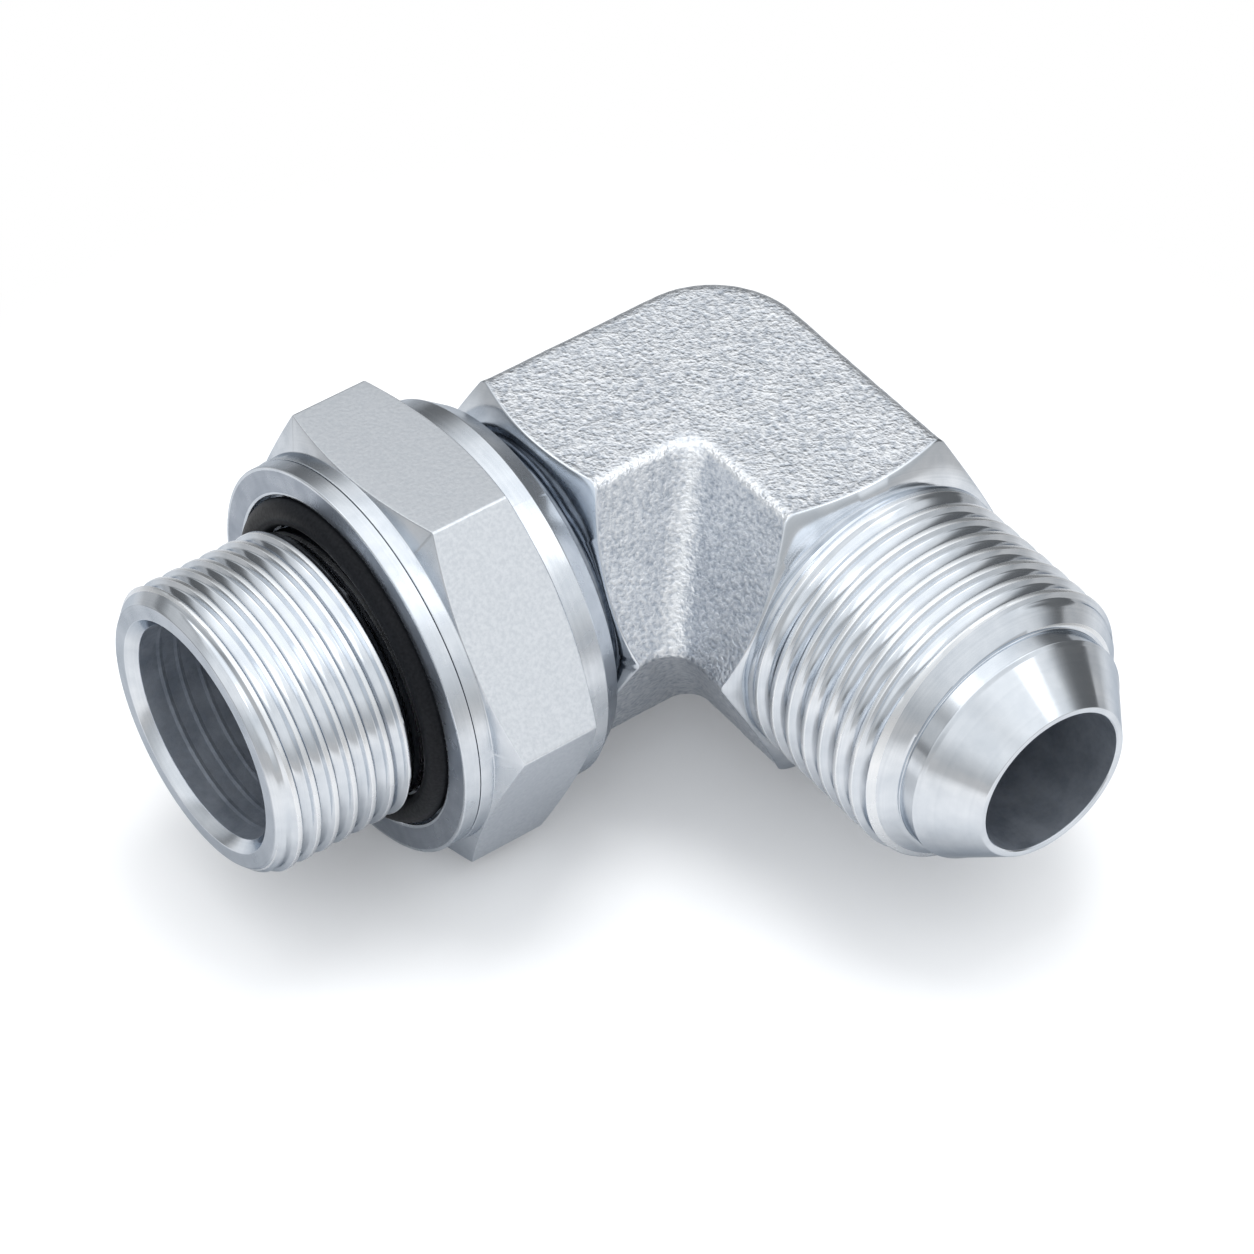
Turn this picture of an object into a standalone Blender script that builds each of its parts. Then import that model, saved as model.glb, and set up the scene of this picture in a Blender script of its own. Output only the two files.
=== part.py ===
"""Adjustable elbow adapter for hydraulic lines.

A forged right-angle body ends in an adjustable parallel stud on one arm and in a
male flare with a 37 degree cone on the other. A lock nut, a retaining ring and an
O-ring sit on the stud. The stud arm points along -Y and the flare arm along +X.
"""

import math

import bmesh
import bpy
from mathutils import Matrix, Vector

MM = 0.001

# Driving dimensions in millimetres. Reaches are measured from the crossing of the arms.
STUD_THREAD_DIAMETER = 26.44
STUD_THREAD_PITCH = 1.814
STUD_THREAD_RELIEF = 1.54
STUD_REACH = 53.6
STUD_END_CHAMFER = 1.2
STUD_BORE_DIAMETER = 19.6
STUD_MOUTH_CHAMFER = 0.9

FLARE_THREAD_DIAMETER = 26.98
FLARE_THREAD_PITCH = 2.117
FLARE_THREAD_RELIEF = 1.4
FLARE_REACH = 46.2
FLARE_BORE_DIAMETER = 13.8
FLARE_SHOULDER_REACH = 22.6
FLARE_RIM_WIDTH = 0.6
FLARE_RIM_ROUND = 0.15
FLARE_CONE_ANGLE = 37.0
FLARE_CONE_LENGTH = 4.25
FLARE_NECK_LENGTH = 2.0
FLARE_NECK_STEP = 0.3
FLARE_END_CHAMFER = 1.7

THREAD_CREST_SHARE = 0.15
THREAD_DEPTH_SHARE = 0.42
THREAD_OVERCUT = 0.08
THREAD_RUN_IN_TURNS = 0.5
THREAD_START_OFFSET = 0.37

BODY_HEIGHT = 30.2
BODY_FLAT_WIDTH = 16.2
BODY_RIDGE_WIDTH = 30.8
BODY_EDGE_ROUND = 1.3
BODY_RIDGE_ROUND = 0.8
BODY_HEEL_RADIUS = 8.4
BODY_CROTCH_RADIUS = 2.4
SHOULDER_LAND = 0.2
SHOULDER_CHAMFER_ANGLE = 30.0
BORE_OVERRUN = 0.5
DRILL_POINT_ANGLE = 118.0

RING_FACE_REACH = 38.7
RING_THICKNESS = 1.3
RING_WALL = 2.6
RING_EDGE_CHAMFER = 0.25

O_RING_CORD = 2.4
UNDERCUT_DEPTH = 0.9

NUT_FLATS = 36.0
NUT_LENGTH = 15.0
NUT_FRONT_COLLAR_LENGTH = 1.3
NUT_BACK_COLLAR_LENGTH = 4.0
NUT_BACK_TAPER_LENGTH = 1.9
NUT_COLLAR_STEP = 0.1
NUT_BACK_COLLAR_STEP = 0.4
NUT_BACK_TAPER_DROP = 1.3
NUT_CORNER_CHAMFER_ANGLE = 22.0
NUT_EDGE_CHAMFER = 0.3
NUT_BORE_CHAMFER = 0.8
NUT_TURN_ANGLE = 6.1

SEAT_GAP = 0.25
NUT_THREAD_CLEARANCE = 0.2
NUT_SHOULDER_GAP = 1.75
NUT_TRAVEL_BACK = 1.8

TURNED_SEGMENTS = 40
CORD_SEGMENTS = 12
HEEL_SEGMENTS = 12
CROTCH_SEGMENTS = 6
ROUND_SEGMENTS = 3

# Places that follow from the driving dimensions.
STUD_RADIUS = STUD_THREAD_DIAMETER / 2
FLARE_RADIUS = FLARE_THREAD_DIAMETER / 2
UNDERCUT_RADIUS = STUD_RADIUS - UNDERCUT_DEPTH
O_RING_INNER_RADIUS = UNDERCUT_RADIUS + SEAT_GAP
O_RING_RADIUS = O_RING_INNER_RADIUS + O_RING_CORD / 2
RING_BORE_RADIUS = O_RING_INNER_RADIUS + O_RING_CORD + SEAT_GAP
RING_OUTER_RADIUS = RING_BORE_RADIUS + RING_WALL
RING_BACK_REACH = RING_FACE_REACH - RING_THICKNESS
NUT_FRONT_REACH = RING_BACK_REACH - SEAT_GAP
NUT_BACK_REACH = NUT_FRONT_REACH - NUT_LENGTH
STUD_SHOULDER_REACH = NUT_BACK_REACH - NUT_SHOULDER_GAP
STUD_THREAD_START = STUD_SHOULDER_REACH + STUD_THREAD_RELIEF
FLARE_THREAD_START = FLARE_SHOULDER_REACH + FLARE_THREAD_RELIEF
NUT_CORNER_RADIUS = NUT_FLATS / math.sqrt(3)
NUT_BORE_RADIUS = STUD_RADIUS + NUT_THREAD_CLEARANCE
O_RING_REACH = NUT_FRONT_REACH + SEAT_GAP + O_RING_CORD / 2
UNDERCUT_FRONT_REACH = O_RING_REACH + O_RING_CORD / 2 + SEAT_GAP
UNDERCUT_BACK_REACH = O_RING_REACH - O_RING_CORD / 2 - NUT_TRAVEL_BACK - SEAT_GAP

BODY_HALF_HEIGHT = BODY_HEIGHT / 2
FLAT_HALF_WIDTH = BODY_FLAT_WIDTH / 2
RIDGE_HALF_WIDTH = BODY_RIDGE_WIDTH / 2
SLOPE_ANGLE = math.atan2(BODY_HALF_HEIGHT, RIDGE_HALF_WIDTH - FLAT_HALF_WIDTH)
RIDGE_HALF_TURN = math.pi / 2 - SLOPE_ANGLE
RIDGE_CENTRE = RIDGE_HALF_WIDTH - BODY_RIDGE_ROUND / math.cos(RIDGE_HALF_TURN)
RIDGE_REACH = RIDGE_CENTRE + BODY_RIDGE_ROUND
CROTCH_WALL = min(STUD_SHOULDER_REACH, FLARE_SHOULDER_REACH) - RIDGE_REACH - SHOULDER_LAND
CROTCH_RADIUS = min(BODY_CROTCH_RADIUS, CROTCH_WALL)


def nut_corner_angles():
    """Angles of the nut's corners about the stud axis, in radians."""
    first = math.radians(NUT_TURN_ANGLE)
    return [first + index * math.pi / 3 for index in range(6)]


# The part stands on its lowest point, with the origin under the middle of its box.
NUT_SIDE_REACH = NUT_CORNER_RADIUS * max(abs(math.cos(angle)) for angle in nut_corner_angles())
NUT_DROP = NUT_CORNER_RADIUS * max(abs(math.sin(angle)) for angle in nut_corner_angles())
AXIS_HEIGHT = max(NUT_DROP, RING_OUTER_RADIUS, BODY_HALF_HEIGHT)
BACK_SIDE_REACH = max(NUT_SIDE_REACH, RING_OUTER_RADIUS, RIDGE_REACH)
CROSSING = Vector((
    (BACK_SIDE_REACH - FLARE_REACH) / 2,
    (STUD_REACH - RIDGE_REACH) / 2,
    AXIS_HEIGHT,
)) * MM

# Local +Z runs out along an arm, and local +X is world +X on the stud.
STUD_ROTATION = Matrix(((1, 0, 0), (0, 0, -1), (0, 1, 0)))
FLARE_ROTATION = Matrix(((0, 0, 1), (0, 1, 0), (-1, 0, 0)))


def clear_scene():
    """Remove every object that the file holds."""
    for existing in list(bpy.data.objects):
        bpy.data.objects.remove(existing, do_unlink=True)


def make_material(name, color, roughness, metallic):
    """Return a Principled material with one plain finish."""
    material = bpy.data.materials.new(name)
    material.use_nodes = True
    shader = material.node_tree.nodes["Principled BSDF"]
    shader.inputs["Base Color"].default_value = (*color, 1.0)
    shader.inputs["Roughness"].default_value = roughness
    shader.inputs["Metallic"].default_value = metallic
    return material


def make_object(name, bm, material, rotation, sharp_angle=30.0):
    """Turn a bmesh in millimetres into an object placed at the arms' crossing."""
    bmesh.ops.scale(bm, vec=(MM, MM, MM), verts=bm.verts)
    bmesh.ops.recalc_face_normals(bm, faces=bm.faces)
    mesh = bpy.data.meshes.new(name)
    bm.to_mesh(mesh)
    bm.free()
    mesh.shade_smooth()
    mesh.set_sharp_from_angle(angle=math.radians(sharp_angle))
    mesh.materials.append(material)
    made = bpy.data.objects.new(name, mesh)
    made.location = CROSSING
    made.rotation_euler = rotation.to_euler()
    bpy.context.scene.collection.objects.link(made)
    return made


def hide_tool(tool):
    """Mark an object as a shape that only cuts or joins another one."""
    tool.hide_render = True
    tool.display_type = "WIRE"
    return tool


def add_boolean(target, tool, operation):
    """Cut, join or intersect an object with a hidden tool."""
    modifier = target.modifiers.new(f"{operation.lower()} {tool.name}", "BOOLEAN")
    modifier.operation = operation
    modifier.solver = "EXACT"
    modifier.object = hide_tool(tool)


def make_ring_of_vertices(bm, along, radius):
    """Return the vertices of one turned circle, or the single one on the axis.

    They stand half a step off the planes of symmetry, so no two turned tools meet edge on edge.
    """
    if radius <= 0:
        return [bm.verts.new((0, 0, along))]
    ring = []
    for index in range(TURNED_SEGMENTS):
        angle = 2 * math.pi * (index + 0.5) / TURNED_SEGMENTS
        ring.append(bm.verts.new((radius * math.cos(angle), radius * math.sin(angle), along)))
    return ring


def bridge_circles(bm, first, second):
    """Skin the band between two turned circles, either of which may be a point."""
    count = max(len(first), len(second))
    for index in range(count):
        after = (index + 1) % count
        if len(first) == 1:
            bm.faces.new((first[0], second[index], second[after]))
        elif len(second) == 1:
            bm.faces.new((first[index], first[after], second[0]))
        else:
            bm.faces.new((first[index], first[after], second[after], second[index]))


def turned_bmesh(profile, closed=False):
    """Turn a profile of (along, radius) points about local Z.

    A closed profile makes a ring. An open one starts and ends on the axis.
    """
    bm = bmesh.new()
    circles = [make_ring_of_vertices(bm, along, radius) for along, radius in profile]
    for first, second in zip(circles, circles[1:]):
        bridge_circles(bm, first, second)
    if closed:
        bridge_circles(bm, circles[-1], circles[0])
    return bm


def arc_points(centre, radius, start, end, segments):
    """Return points along an arc, both ends included, with angles in radians."""
    points = []
    for index in range(segments + 1):
        angle = start + (end - start) * index / segments
        points.append((centre[0] + radius * math.cos(angle), centre[1] + radius * math.sin(angle)))
    return points


def forging_levels():
    """Return the (half width, height) steps of the six-sided arm section, top first."""
    tangent = BODY_EDGE_ROUND * math.tan(SLOPE_ANGLE / 2)
    edge_centre = (FLAT_HALF_WIDTH - tangent, BODY_HALF_HEIGHT - BODY_EDGE_ROUND)
    upper_start = math.pi / 2
    upper_end = math.pi / 2 - SLOPE_ANGLE
    upper = arc_points(edge_centre, BODY_EDGE_ROUND, upper_start, upper_end, ROUND_SEGMENTS)
    ridge = arc_points((RIDGE_CENTRE, 0.0), BODY_RIDGE_ROUND, RIDGE_HALF_TURN, -RIDGE_HALF_TURN, 2)
    lower = [(width, -height) for width, height in reversed(upper)]
    return upper + ridge + lower


def elbow_outline(half_width):
    """Return the plan outline of both arms at one level of the forging."""
    heel_radius = BODY_HEEL_RADIUS + half_width - FLAT_HALF_WIDTH
    heel_centre = (heel_radius - half_width, half_width - heel_radius)
    crotch_centre = (half_width + CROTCH_RADIUS, -half_width - CROTCH_RADIUS)
    outline = [(-half_width, -STUD_SHOULDER_REACH)]
    outline += arc_points(heel_centre, heel_radius, math.pi, math.pi / 2, HEEL_SEGMENTS)
    outline.append((FLARE_SHOULDER_REACH, half_width))
    outline.append((FLARE_SHOULDER_REACH, -half_width))
    outline += arc_points(crotch_centre, CROTCH_RADIUS, math.pi / 2, math.pi, CROTCH_SEGMENTS)
    outline.append((half_width, -STUD_SHOULDER_REACH))
    return outline


def forging_bmesh():
    """Loft the elbow outline through the levels of the section."""
    bm = bmesh.new()
    loops = []
    for half_width, height in forging_levels():
        loops.append([bm.verts.new((x, y, height)) for x, y in elbow_outline(half_width)])
    for upper, lower in zip(loops, loops[1:]):
        count = len(upper)
        for index in range(count):
            after = (index + 1) % count
            bm.faces.new((upper[index], upper[after], lower[after], lower[index]))
    bm.faces.new(loops[0])
    bm.faces.new(reversed(loops[-1]))
    return bm


def shoulder_cutter_bmesh(shoulder_reach, thread_radius):
    """Turn the ring that chamfers the corners of an arm's end."""
    slope = math.tan(math.radians(SHOULDER_CHAMFER_ANGLE))
    land_radius = thread_radius + SHOULDER_LAND
    outer_radius = 1.5 * RIDGE_HALF_WIDTH
    past_end = SHOULDER_LAND
    profile = [
        (shoulder_reach + past_end, land_radius - past_end / slope),
        (shoulder_reach - (outer_radius - land_radius) * slope, outer_radius),
        (shoulder_reach + past_end, outer_radius),
    ]
    return turned_bmesh(profile, closed=True)


def stud_profile():
    """Outer profile of the turned stud, from inside the forging to its end face."""
    return [
        (0.0, 0.0),
        (0.0, STUD_RADIUS),
        (UNDERCUT_BACK_REACH - UNDERCUT_DEPTH, STUD_RADIUS),
        (UNDERCUT_BACK_REACH, UNDERCUT_RADIUS),
        (UNDERCUT_FRONT_REACH, UNDERCUT_RADIUS),
        (UNDERCUT_FRONT_REACH + UNDERCUT_DEPTH, STUD_RADIUS),
        (STUD_REACH - STUD_END_CHAMFER, STUD_RADIUS),
        (STUD_REACH, STUD_RADIUS - STUD_END_CHAMFER),
        (STUD_REACH, 0.0),
    ]


def flare_profile():
    """Outer profile of the flare end: thread, neck, 37 degree cone and thin rim."""
    rim_radius = FLARE_BORE_DIAMETER / 2 + FLARE_RIM_WIDTH
    cone_slope = math.tan(math.radians(FLARE_CONE_ANGLE))
    cone_base_radius = rim_radius + FLARE_CONE_LENGTH * cone_slope
    cone_base_reach = FLARE_REACH - FLARE_CONE_LENGTH
    neck_radius = cone_base_radius + FLARE_NECK_STEP
    neck_reach = cone_base_reach - FLARE_NECK_LENGTH
    return [
        (0.0, 0.0),
        (0.0, FLARE_RADIUS),
        (neck_reach - FLARE_END_CHAMFER, FLARE_RADIUS),
        (neck_reach, neck_radius + FLARE_NECK_STEP),
        (neck_reach, neck_radius),
        (cone_base_reach - FLARE_NECK_STEP, neck_radius),
        (cone_base_reach, cone_base_radius),
        (FLARE_REACH - FLARE_RIM_ROUND, rim_radius + FLARE_RIM_ROUND * cone_slope),
        (FLARE_REACH, rim_radius - FLARE_RIM_ROUND),
        (FLARE_REACH, 0.0),
    ]


def bore_profile(radius, reach, mouth_chamfer):
    """Drilled bore with its drill point past the crossing and a chamfered mouth."""
    point_length = radius / math.tan(math.radians(DRILL_POINT_ANGLE / 2))
    past_end = 1.0
    profile = [(-BORE_OVERRUN - point_length, 0.0), (-BORE_OVERRUN, radius)]
    if mouth_chamfer > 0:
        profile.append((reach - mouth_chamfer, radius))
        profile.append((reach + past_end, radius + mouth_chamfer + past_end))
    else:
        profile.append((reach + past_end, radius))
    profile.append((reach + past_end, 0.0))
    return profile


def thread_groove_bmesh(thread_radius, pitch, start_reach, end_reach):
    """Sweep the V groove of a right-handed thread along its helix.

    It runs in to its full depth over the first part of a turn, and ends in the open past end_reach.
    """
    depth = THREAD_DEPTH_SHARE * pitch
    widening = (1 - THREAD_CREST_SHARE) * pitch / 2 / depth
    last_step = math.ceil((end_reach - start_reach) / pitch * TURNED_SEGMENTS)
    bm = bmesh.new()
    sections = []
    for step in [THREAD_START_OFFSET, *range(1, last_step + 1)]:
        angle = 2 * math.pi * (step + 0.5) / TURNED_SEGMENTS
        along = start_reach + pitch * step / TURNED_SEGMENTS
        run_in = min(1, (step + 1) / (THREAD_RUN_IN_TURNS * TURNED_SEGMENTS))
        half_width = (run_in * depth + THREAD_OVERCUT) * widening
        corners = [
            (along - half_width, thread_radius + THREAD_OVERCUT),
            (along + half_width, thread_radius + THREAD_OVERCUT),
            (along, thread_radius - run_in * depth),
        ]
        section = []
        for reach, radius in corners:
            section.append(bm.verts.new((radius * math.cos(angle), radius * math.sin(angle), reach)))
        sections.append(section)
    for first, second in zip(sections, sections[1:]):
        bridge_circles(bm, first, second)
    bm.faces.new(reversed(sections[0]))
    bm.faces.new(sections[-1])
    return bm


def make_elbow_body(material):
    """Forge, turn and drill the one-piece body."""
    body = make_object("elbow_body", forging_bmesh(), material, Matrix.Identity(3))
    stud_cutter = shoulder_cutter_bmesh(STUD_SHOULDER_REACH, STUD_RADIUS)
    flare_cutter = shoulder_cutter_bmesh(FLARE_SHOULDER_REACH, FLARE_RADIUS)
    stud_bore = bore_profile(STUD_BORE_DIAMETER / 2, STUD_REACH, STUD_MOUTH_CHAMFER)
    flare_bore = bore_profile(FLARE_BORE_DIAMETER / 2, FLARE_REACH, 0.0)
    stud_groove = thread_groove_bmesh(
        STUD_RADIUS, STUD_THREAD_PITCH, STUD_THREAD_START, STUD_REACH + STUD_THREAD_PITCH
    )
    flare_groove = thread_groove_bmesh(
        FLARE_RADIUS, FLARE_THREAD_PITCH, FLARE_THREAD_START, FLARE_REACH - FLARE_CONE_LENGTH
    )
    steps = [
        ("stud shoulder cut", stud_cutter, STUD_ROTATION, "DIFFERENCE"),
        ("flare shoulder cut", flare_cutter, FLARE_ROTATION, "DIFFERENCE"),
        ("stud blank", turned_bmesh(stud_profile()), STUD_ROTATION, "UNION"),
        ("flare blank", turned_bmesh(flare_profile()), FLARE_ROTATION, "UNION"),
        ("stud bore", turned_bmesh(stud_bore), STUD_ROTATION, "DIFFERENCE"),
        ("flare bore", turned_bmesh(flare_bore), FLARE_ROTATION, "DIFFERENCE"),
        ("stud thread groove", stud_groove, STUD_ROTATION, "DIFFERENCE"),
        ("flare thread groove", flare_groove, FLARE_ROTATION, "DIFFERENCE"),
    ]
    for name, bm, rotation, operation in steps:
        add_boolean(body, make_object(name, bm, material, rotation), operation)
    return body


def hexagon_bmesh():
    """Extrude the nut's hexagon past both ends of its blank."""
    bm = bmesh.new()
    past_end = 1.0
    ends = []
    for along in (NUT_BACK_REACH - past_end, NUT_FRONT_REACH + past_end):
        corners = []
        for angle in nut_corner_angles():
            x = NUT_CORNER_RADIUS * math.cos(angle)
            y = NUT_CORNER_RADIUS * math.sin(angle)
            corners.append(bm.verts.new((x, y, along)))
        ends.append(corners)
    back, front = ends
    for index in range(6):
        after = (index + 1) % 6
        bm.faces.new((back[index], back[after], front[after], front[index]))
    bm.faces.new(reversed(back))
    bm.faces.new(front)
    return bm


def nut_blank_profile():
    """Turned envelope of the nut: collars, corner chamfers and threaded bore."""
    slope = math.tan(math.radians(NUT_CORNER_CHAMFER_ANGLE))
    outer_radius = NUT_CORNER_RADIUS * 1.1
    front_radius = NUT_FLATS / 2 - NUT_COLLAR_STEP
    back_radius = NUT_FLATS / 2 - NUT_BACK_COLLAR_STEP
    front_edge = NUT_FRONT_REACH - NUT_FRONT_COLLAR_LENGTH
    back_edge = NUT_BACK_REACH + NUT_BACK_COLLAR_LENGTH
    return [
        (NUT_FRONT_REACH, NUT_BORE_RADIUS + NUT_BORE_CHAMFER),
        (NUT_FRONT_REACH, front_radius - NUT_EDGE_CHAMFER),
        (NUT_FRONT_REACH - NUT_EDGE_CHAMFER, front_radius),
        (front_edge, front_radius),
        (front_edge - (outer_radius - front_radius) * slope, outer_radius),
        (back_edge + (outer_radius - back_radius) * slope, outer_radius),
        (back_edge, back_radius),
        (NUT_BACK_REACH + NUT_BACK_TAPER_LENGTH, back_radius),
        (NUT_BACK_REACH, back_radius - NUT_BACK_TAPER_DROP),
        (NUT_BACK_REACH, NUT_BORE_RADIUS + NUT_BORE_CHAMFER),
        (NUT_BACK_REACH + NUT_BORE_CHAMFER, NUT_BORE_RADIUS),
        (NUT_FRONT_REACH - NUT_BORE_CHAMFER, NUT_BORE_RADIUS),
    ]


def make_lock_nut(material):
    """Make the hexagon lock nut with a round collar at each end."""
    nut = make_object("lock_nut", turned_bmesh(nut_blank_profile(), closed=True), material, STUD_ROTATION)
    hexagon = make_object("nut hexagon", hexagon_bmesh(), material, STUD_ROTATION)
    add_boolean(nut, hexagon, "INTERSECT")
    return nut


def make_retaining_ring(material):
    """Make the flat ring that holds the O-ring in."""
    profile = [
        (RING_FACE_REACH, RING_BORE_RADIUS + RING_EDGE_CHAMFER),
        (RING_FACE_REACH, RING_OUTER_RADIUS - RING_EDGE_CHAMFER),
        (RING_FACE_REACH - RING_EDGE_CHAMFER, RING_OUTER_RADIUS),
        (RING_BACK_REACH + RING_EDGE_CHAMFER, RING_OUTER_RADIUS),
        (RING_BACK_REACH, RING_OUTER_RADIUS - RING_EDGE_CHAMFER),
        (RING_BACK_REACH, RING_BORE_RADIUS),
        (RING_FACE_REACH - RING_EDGE_CHAMFER, RING_BORE_RADIUS),
    ]
    return make_object("retaining_ring", turned_bmesh(profile, closed=True), material, STUD_ROTATION)


def make_o_ring(material):
    """Make the rubber ring that seals in the undercut."""
    profile = []
    for index in range(CORD_SEGMENTS):
        angle = 2 * math.pi * index / CORD_SEGMENTS
        along = O_RING_REACH + O_RING_CORD / 2 * math.cos(angle)
        radius = O_RING_RADIUS + O_RING_CORD / 2 * math.sin(angle)
        profile.append((along, radius))
    bm = turned_bmesh(profile, closed=True)
    return make_object("o_ring", bm, material, STUD_ROTATION, sharp_angle=180.0)


def main():
    """Build the four pieces of the adapter."""
    clear_scene()
    forged_steel = make_material("zinc plated forging", (0.62, 0.66, 0.71), 0.45, 1.0)
    nut_steel = make_material("zinc plated nut", (0.70, 0.73, 0.77), 0.30, 1.0)
    ring_steel = make_material("zinc plated ring", (0.66, 0.70, 0.75), 0.25, 1.0)
    black_rubber = make_material("black rubber", (0.02, 0.02, 0.022), 0.55, 0.0)
    make_elbow_body(forged_steel)
    make_lock_nut(nut_steel)
    make_retaining_ring(ring_steel)
    make_o_ring(black_rubber)


main()
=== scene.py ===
"""Looks of an adjustable elbow adapter in zinc plated steel.

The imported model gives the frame. Fine meshes stand in for its four solids: the shot-blasted
forging with its drilled passage, the threaded stud, the flare end, the lock nut, the retaining
ring and the O-ring. Lengths are in millimetres until a mesh is written.
"""

import logging
import math
from dataclasses import dataclass
from enum import Enum
from typing import Sequence

import bmesh
import bpy
import numpy as np
from mathutils import Matrix, Vector, noise


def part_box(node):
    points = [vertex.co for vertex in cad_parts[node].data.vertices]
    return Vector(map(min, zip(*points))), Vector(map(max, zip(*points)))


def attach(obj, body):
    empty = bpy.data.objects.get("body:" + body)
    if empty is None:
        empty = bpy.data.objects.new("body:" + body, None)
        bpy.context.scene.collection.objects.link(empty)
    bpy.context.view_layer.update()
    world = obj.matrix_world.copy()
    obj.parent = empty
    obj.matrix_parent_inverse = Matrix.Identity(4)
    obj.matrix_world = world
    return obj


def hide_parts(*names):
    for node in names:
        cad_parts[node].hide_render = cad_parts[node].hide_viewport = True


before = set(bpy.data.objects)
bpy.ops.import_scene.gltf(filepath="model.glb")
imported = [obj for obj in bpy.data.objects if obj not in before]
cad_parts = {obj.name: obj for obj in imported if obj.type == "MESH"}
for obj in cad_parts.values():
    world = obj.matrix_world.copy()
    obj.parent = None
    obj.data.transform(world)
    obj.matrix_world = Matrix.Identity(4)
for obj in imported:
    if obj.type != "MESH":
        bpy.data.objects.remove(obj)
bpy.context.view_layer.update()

MM = 0.001
WELD_DISTANCE = 0.0015
# Half the angle of a corner, in degrees, from which it is too straight to need a fillet
STRAIGHT_HALF = 89.0
# The largest part of an edge that one fillet may take up
FILLET_SHARE = 0.48
LOG = logging.getLogger("elbow_adapter")

Color = tuple[float, float, float]
Profile = list[tuple[float, float]]
Stops = tuple[tuple[float, float], ...]
Socket = bpy.types.NodeSocket
Feed = Socket | float | tuple[float, ...]
Feeds = dict[str | int, Feed]


class Body(Enum):
    """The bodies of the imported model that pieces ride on."""

    ELBOW = "elbow"
    RING_SET = "ring_set"
    NUT = "nut"


class Slot(Enum):
    """The record's material slots."""

    FORGED = "forged_body"
    NUT = "nut_steel"
    RING = "ring_steel"
    SEAL = "seal_rubber"


# Geometry shared by every piece


@dataclass(frozen=True)
class Axis:
    """The axis of an arm, with reach measured out along it from the arms' crossing."""

    origin: np.ndarray
    along: np.ndarray
    side: np.ndarray
    up: np.ndarray

    def place(self, reach: np.ndarray, radius: np.ndarray, angle: np.ndarray) -> np.ndarray:
        """Turn polar places about the axis into points.

        Args:
            reach: Distance out along the axis from the crossing.
            radius: Distance from the axis.
            angle: Angle about the axis from its side direction, in radians.

        Returns:
            Points in millimetres, with the coordinates on the last axis of the array.
        """
        reach, radius, angle = np.broadcast_arrays(reach, radius, angle)
        across = np.cos(angle)[..., None] * self.side + np.sin(angle)[..., None] * self.up
        return self.origin + reach[..., None] * self.along + radius[..., None] * across


@dataclass(frozen=True)
class Turn:
    """One corner of a turned profile.

    Attributes:
        reach: Distance out along the axis.
        radius: Distance from the axis.
        rounding: Radius of the fillet on the corner.
        finish: Index of the finish on the band that follows the corner.
    """

    reach: float
    radius: float
    rounding: float = 0.0
    finish: int = 0


def fillet_corner(before: Turn, corner: Turn, after: Turn, steps: int) -> Profile:
    """Return the points that round one corner of a profile.

    Args:
        before: The corner before it.
        corner: The corner to round.
        after: The corner after it.
        steps: Number of chords in the arc.

    Returns:
        Points of the arc, or the corner itself where it has no rounding.
    """
    here = np.array((corner.reach, corner.radius))
    towards_before = np.array((before.reach, before.radius)) - here
    towards_after = np.array((after.reach, after.radius)) - here
    length_before = np.linalg.norm(towards_before)
    length_after = np.linalg.norm(towards_after)
    if corner.rounding <= 0 or length_before == 0 or length_after == 0:
        return [(corner.reach, corner.radius)]
    towards_before = towards_before / length_before
    towards_after = towards_after / length_after
    half_corner = math.acos(np.clip(towards_before @ towards_after, -1, 1)) / 2
    if half_corner > math.radians(STRAIGHT_HALF):
        return [(corner.reach, corner.radius)]
    room = FILLET_SHARE * min(length_before, length_after)
    tangent = min(corner.rounding / math.tan(half_corner), room)
    radius = tangent * math.tan(half_corner)
    bisector = towards_before + towards_after
    centre = here + bisector / np.linalg.norm(bisector) * radius / math.sin(half_corner)
    start = here + towards_before * tangent - centre
    end = here + towards_after * tangent - centre
    swept = math.pi - 2 * half_corner
    points = []
    for index in range(steps + 1):
        share = index / steps
        weights = math.sin((1 - share) * swept), math.sin(share * swept)
        spot = centre + (weights[0] * start + weights[1] * end) / math.sin(swept)
        points.append((float(spot[0]), float(spot[1])))
    return points


def round_profile(turns: Sequence[Turn], closed: bool, steps: int = 3) -> tuple[Profile, list[int]]:
    """Round the corners of a turned profile.

    Args:
        turns: The profile's corners in order.
        closed: Whether the last corner joins the first.
        steps: Number of chords in each fillet.

    Returns:
        The rounded points, and the finish of the band after each point.
    """
    points: Profile = []
    finishes: list[int] = []
    count = len(turns)
    for index, corner in enumerate(turns):
        is_end = index in (0, count - 1) and not closed
        if is_end:
            arc = [(corner.reach, corner.radius)]
        else:
            arc = fillet_corner(turns[index - 1], corner, turns[(index + 1) % count], steps)
        points += arc
        finishes += [corner.finish] * len(arc)
    return points, finishes


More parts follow.
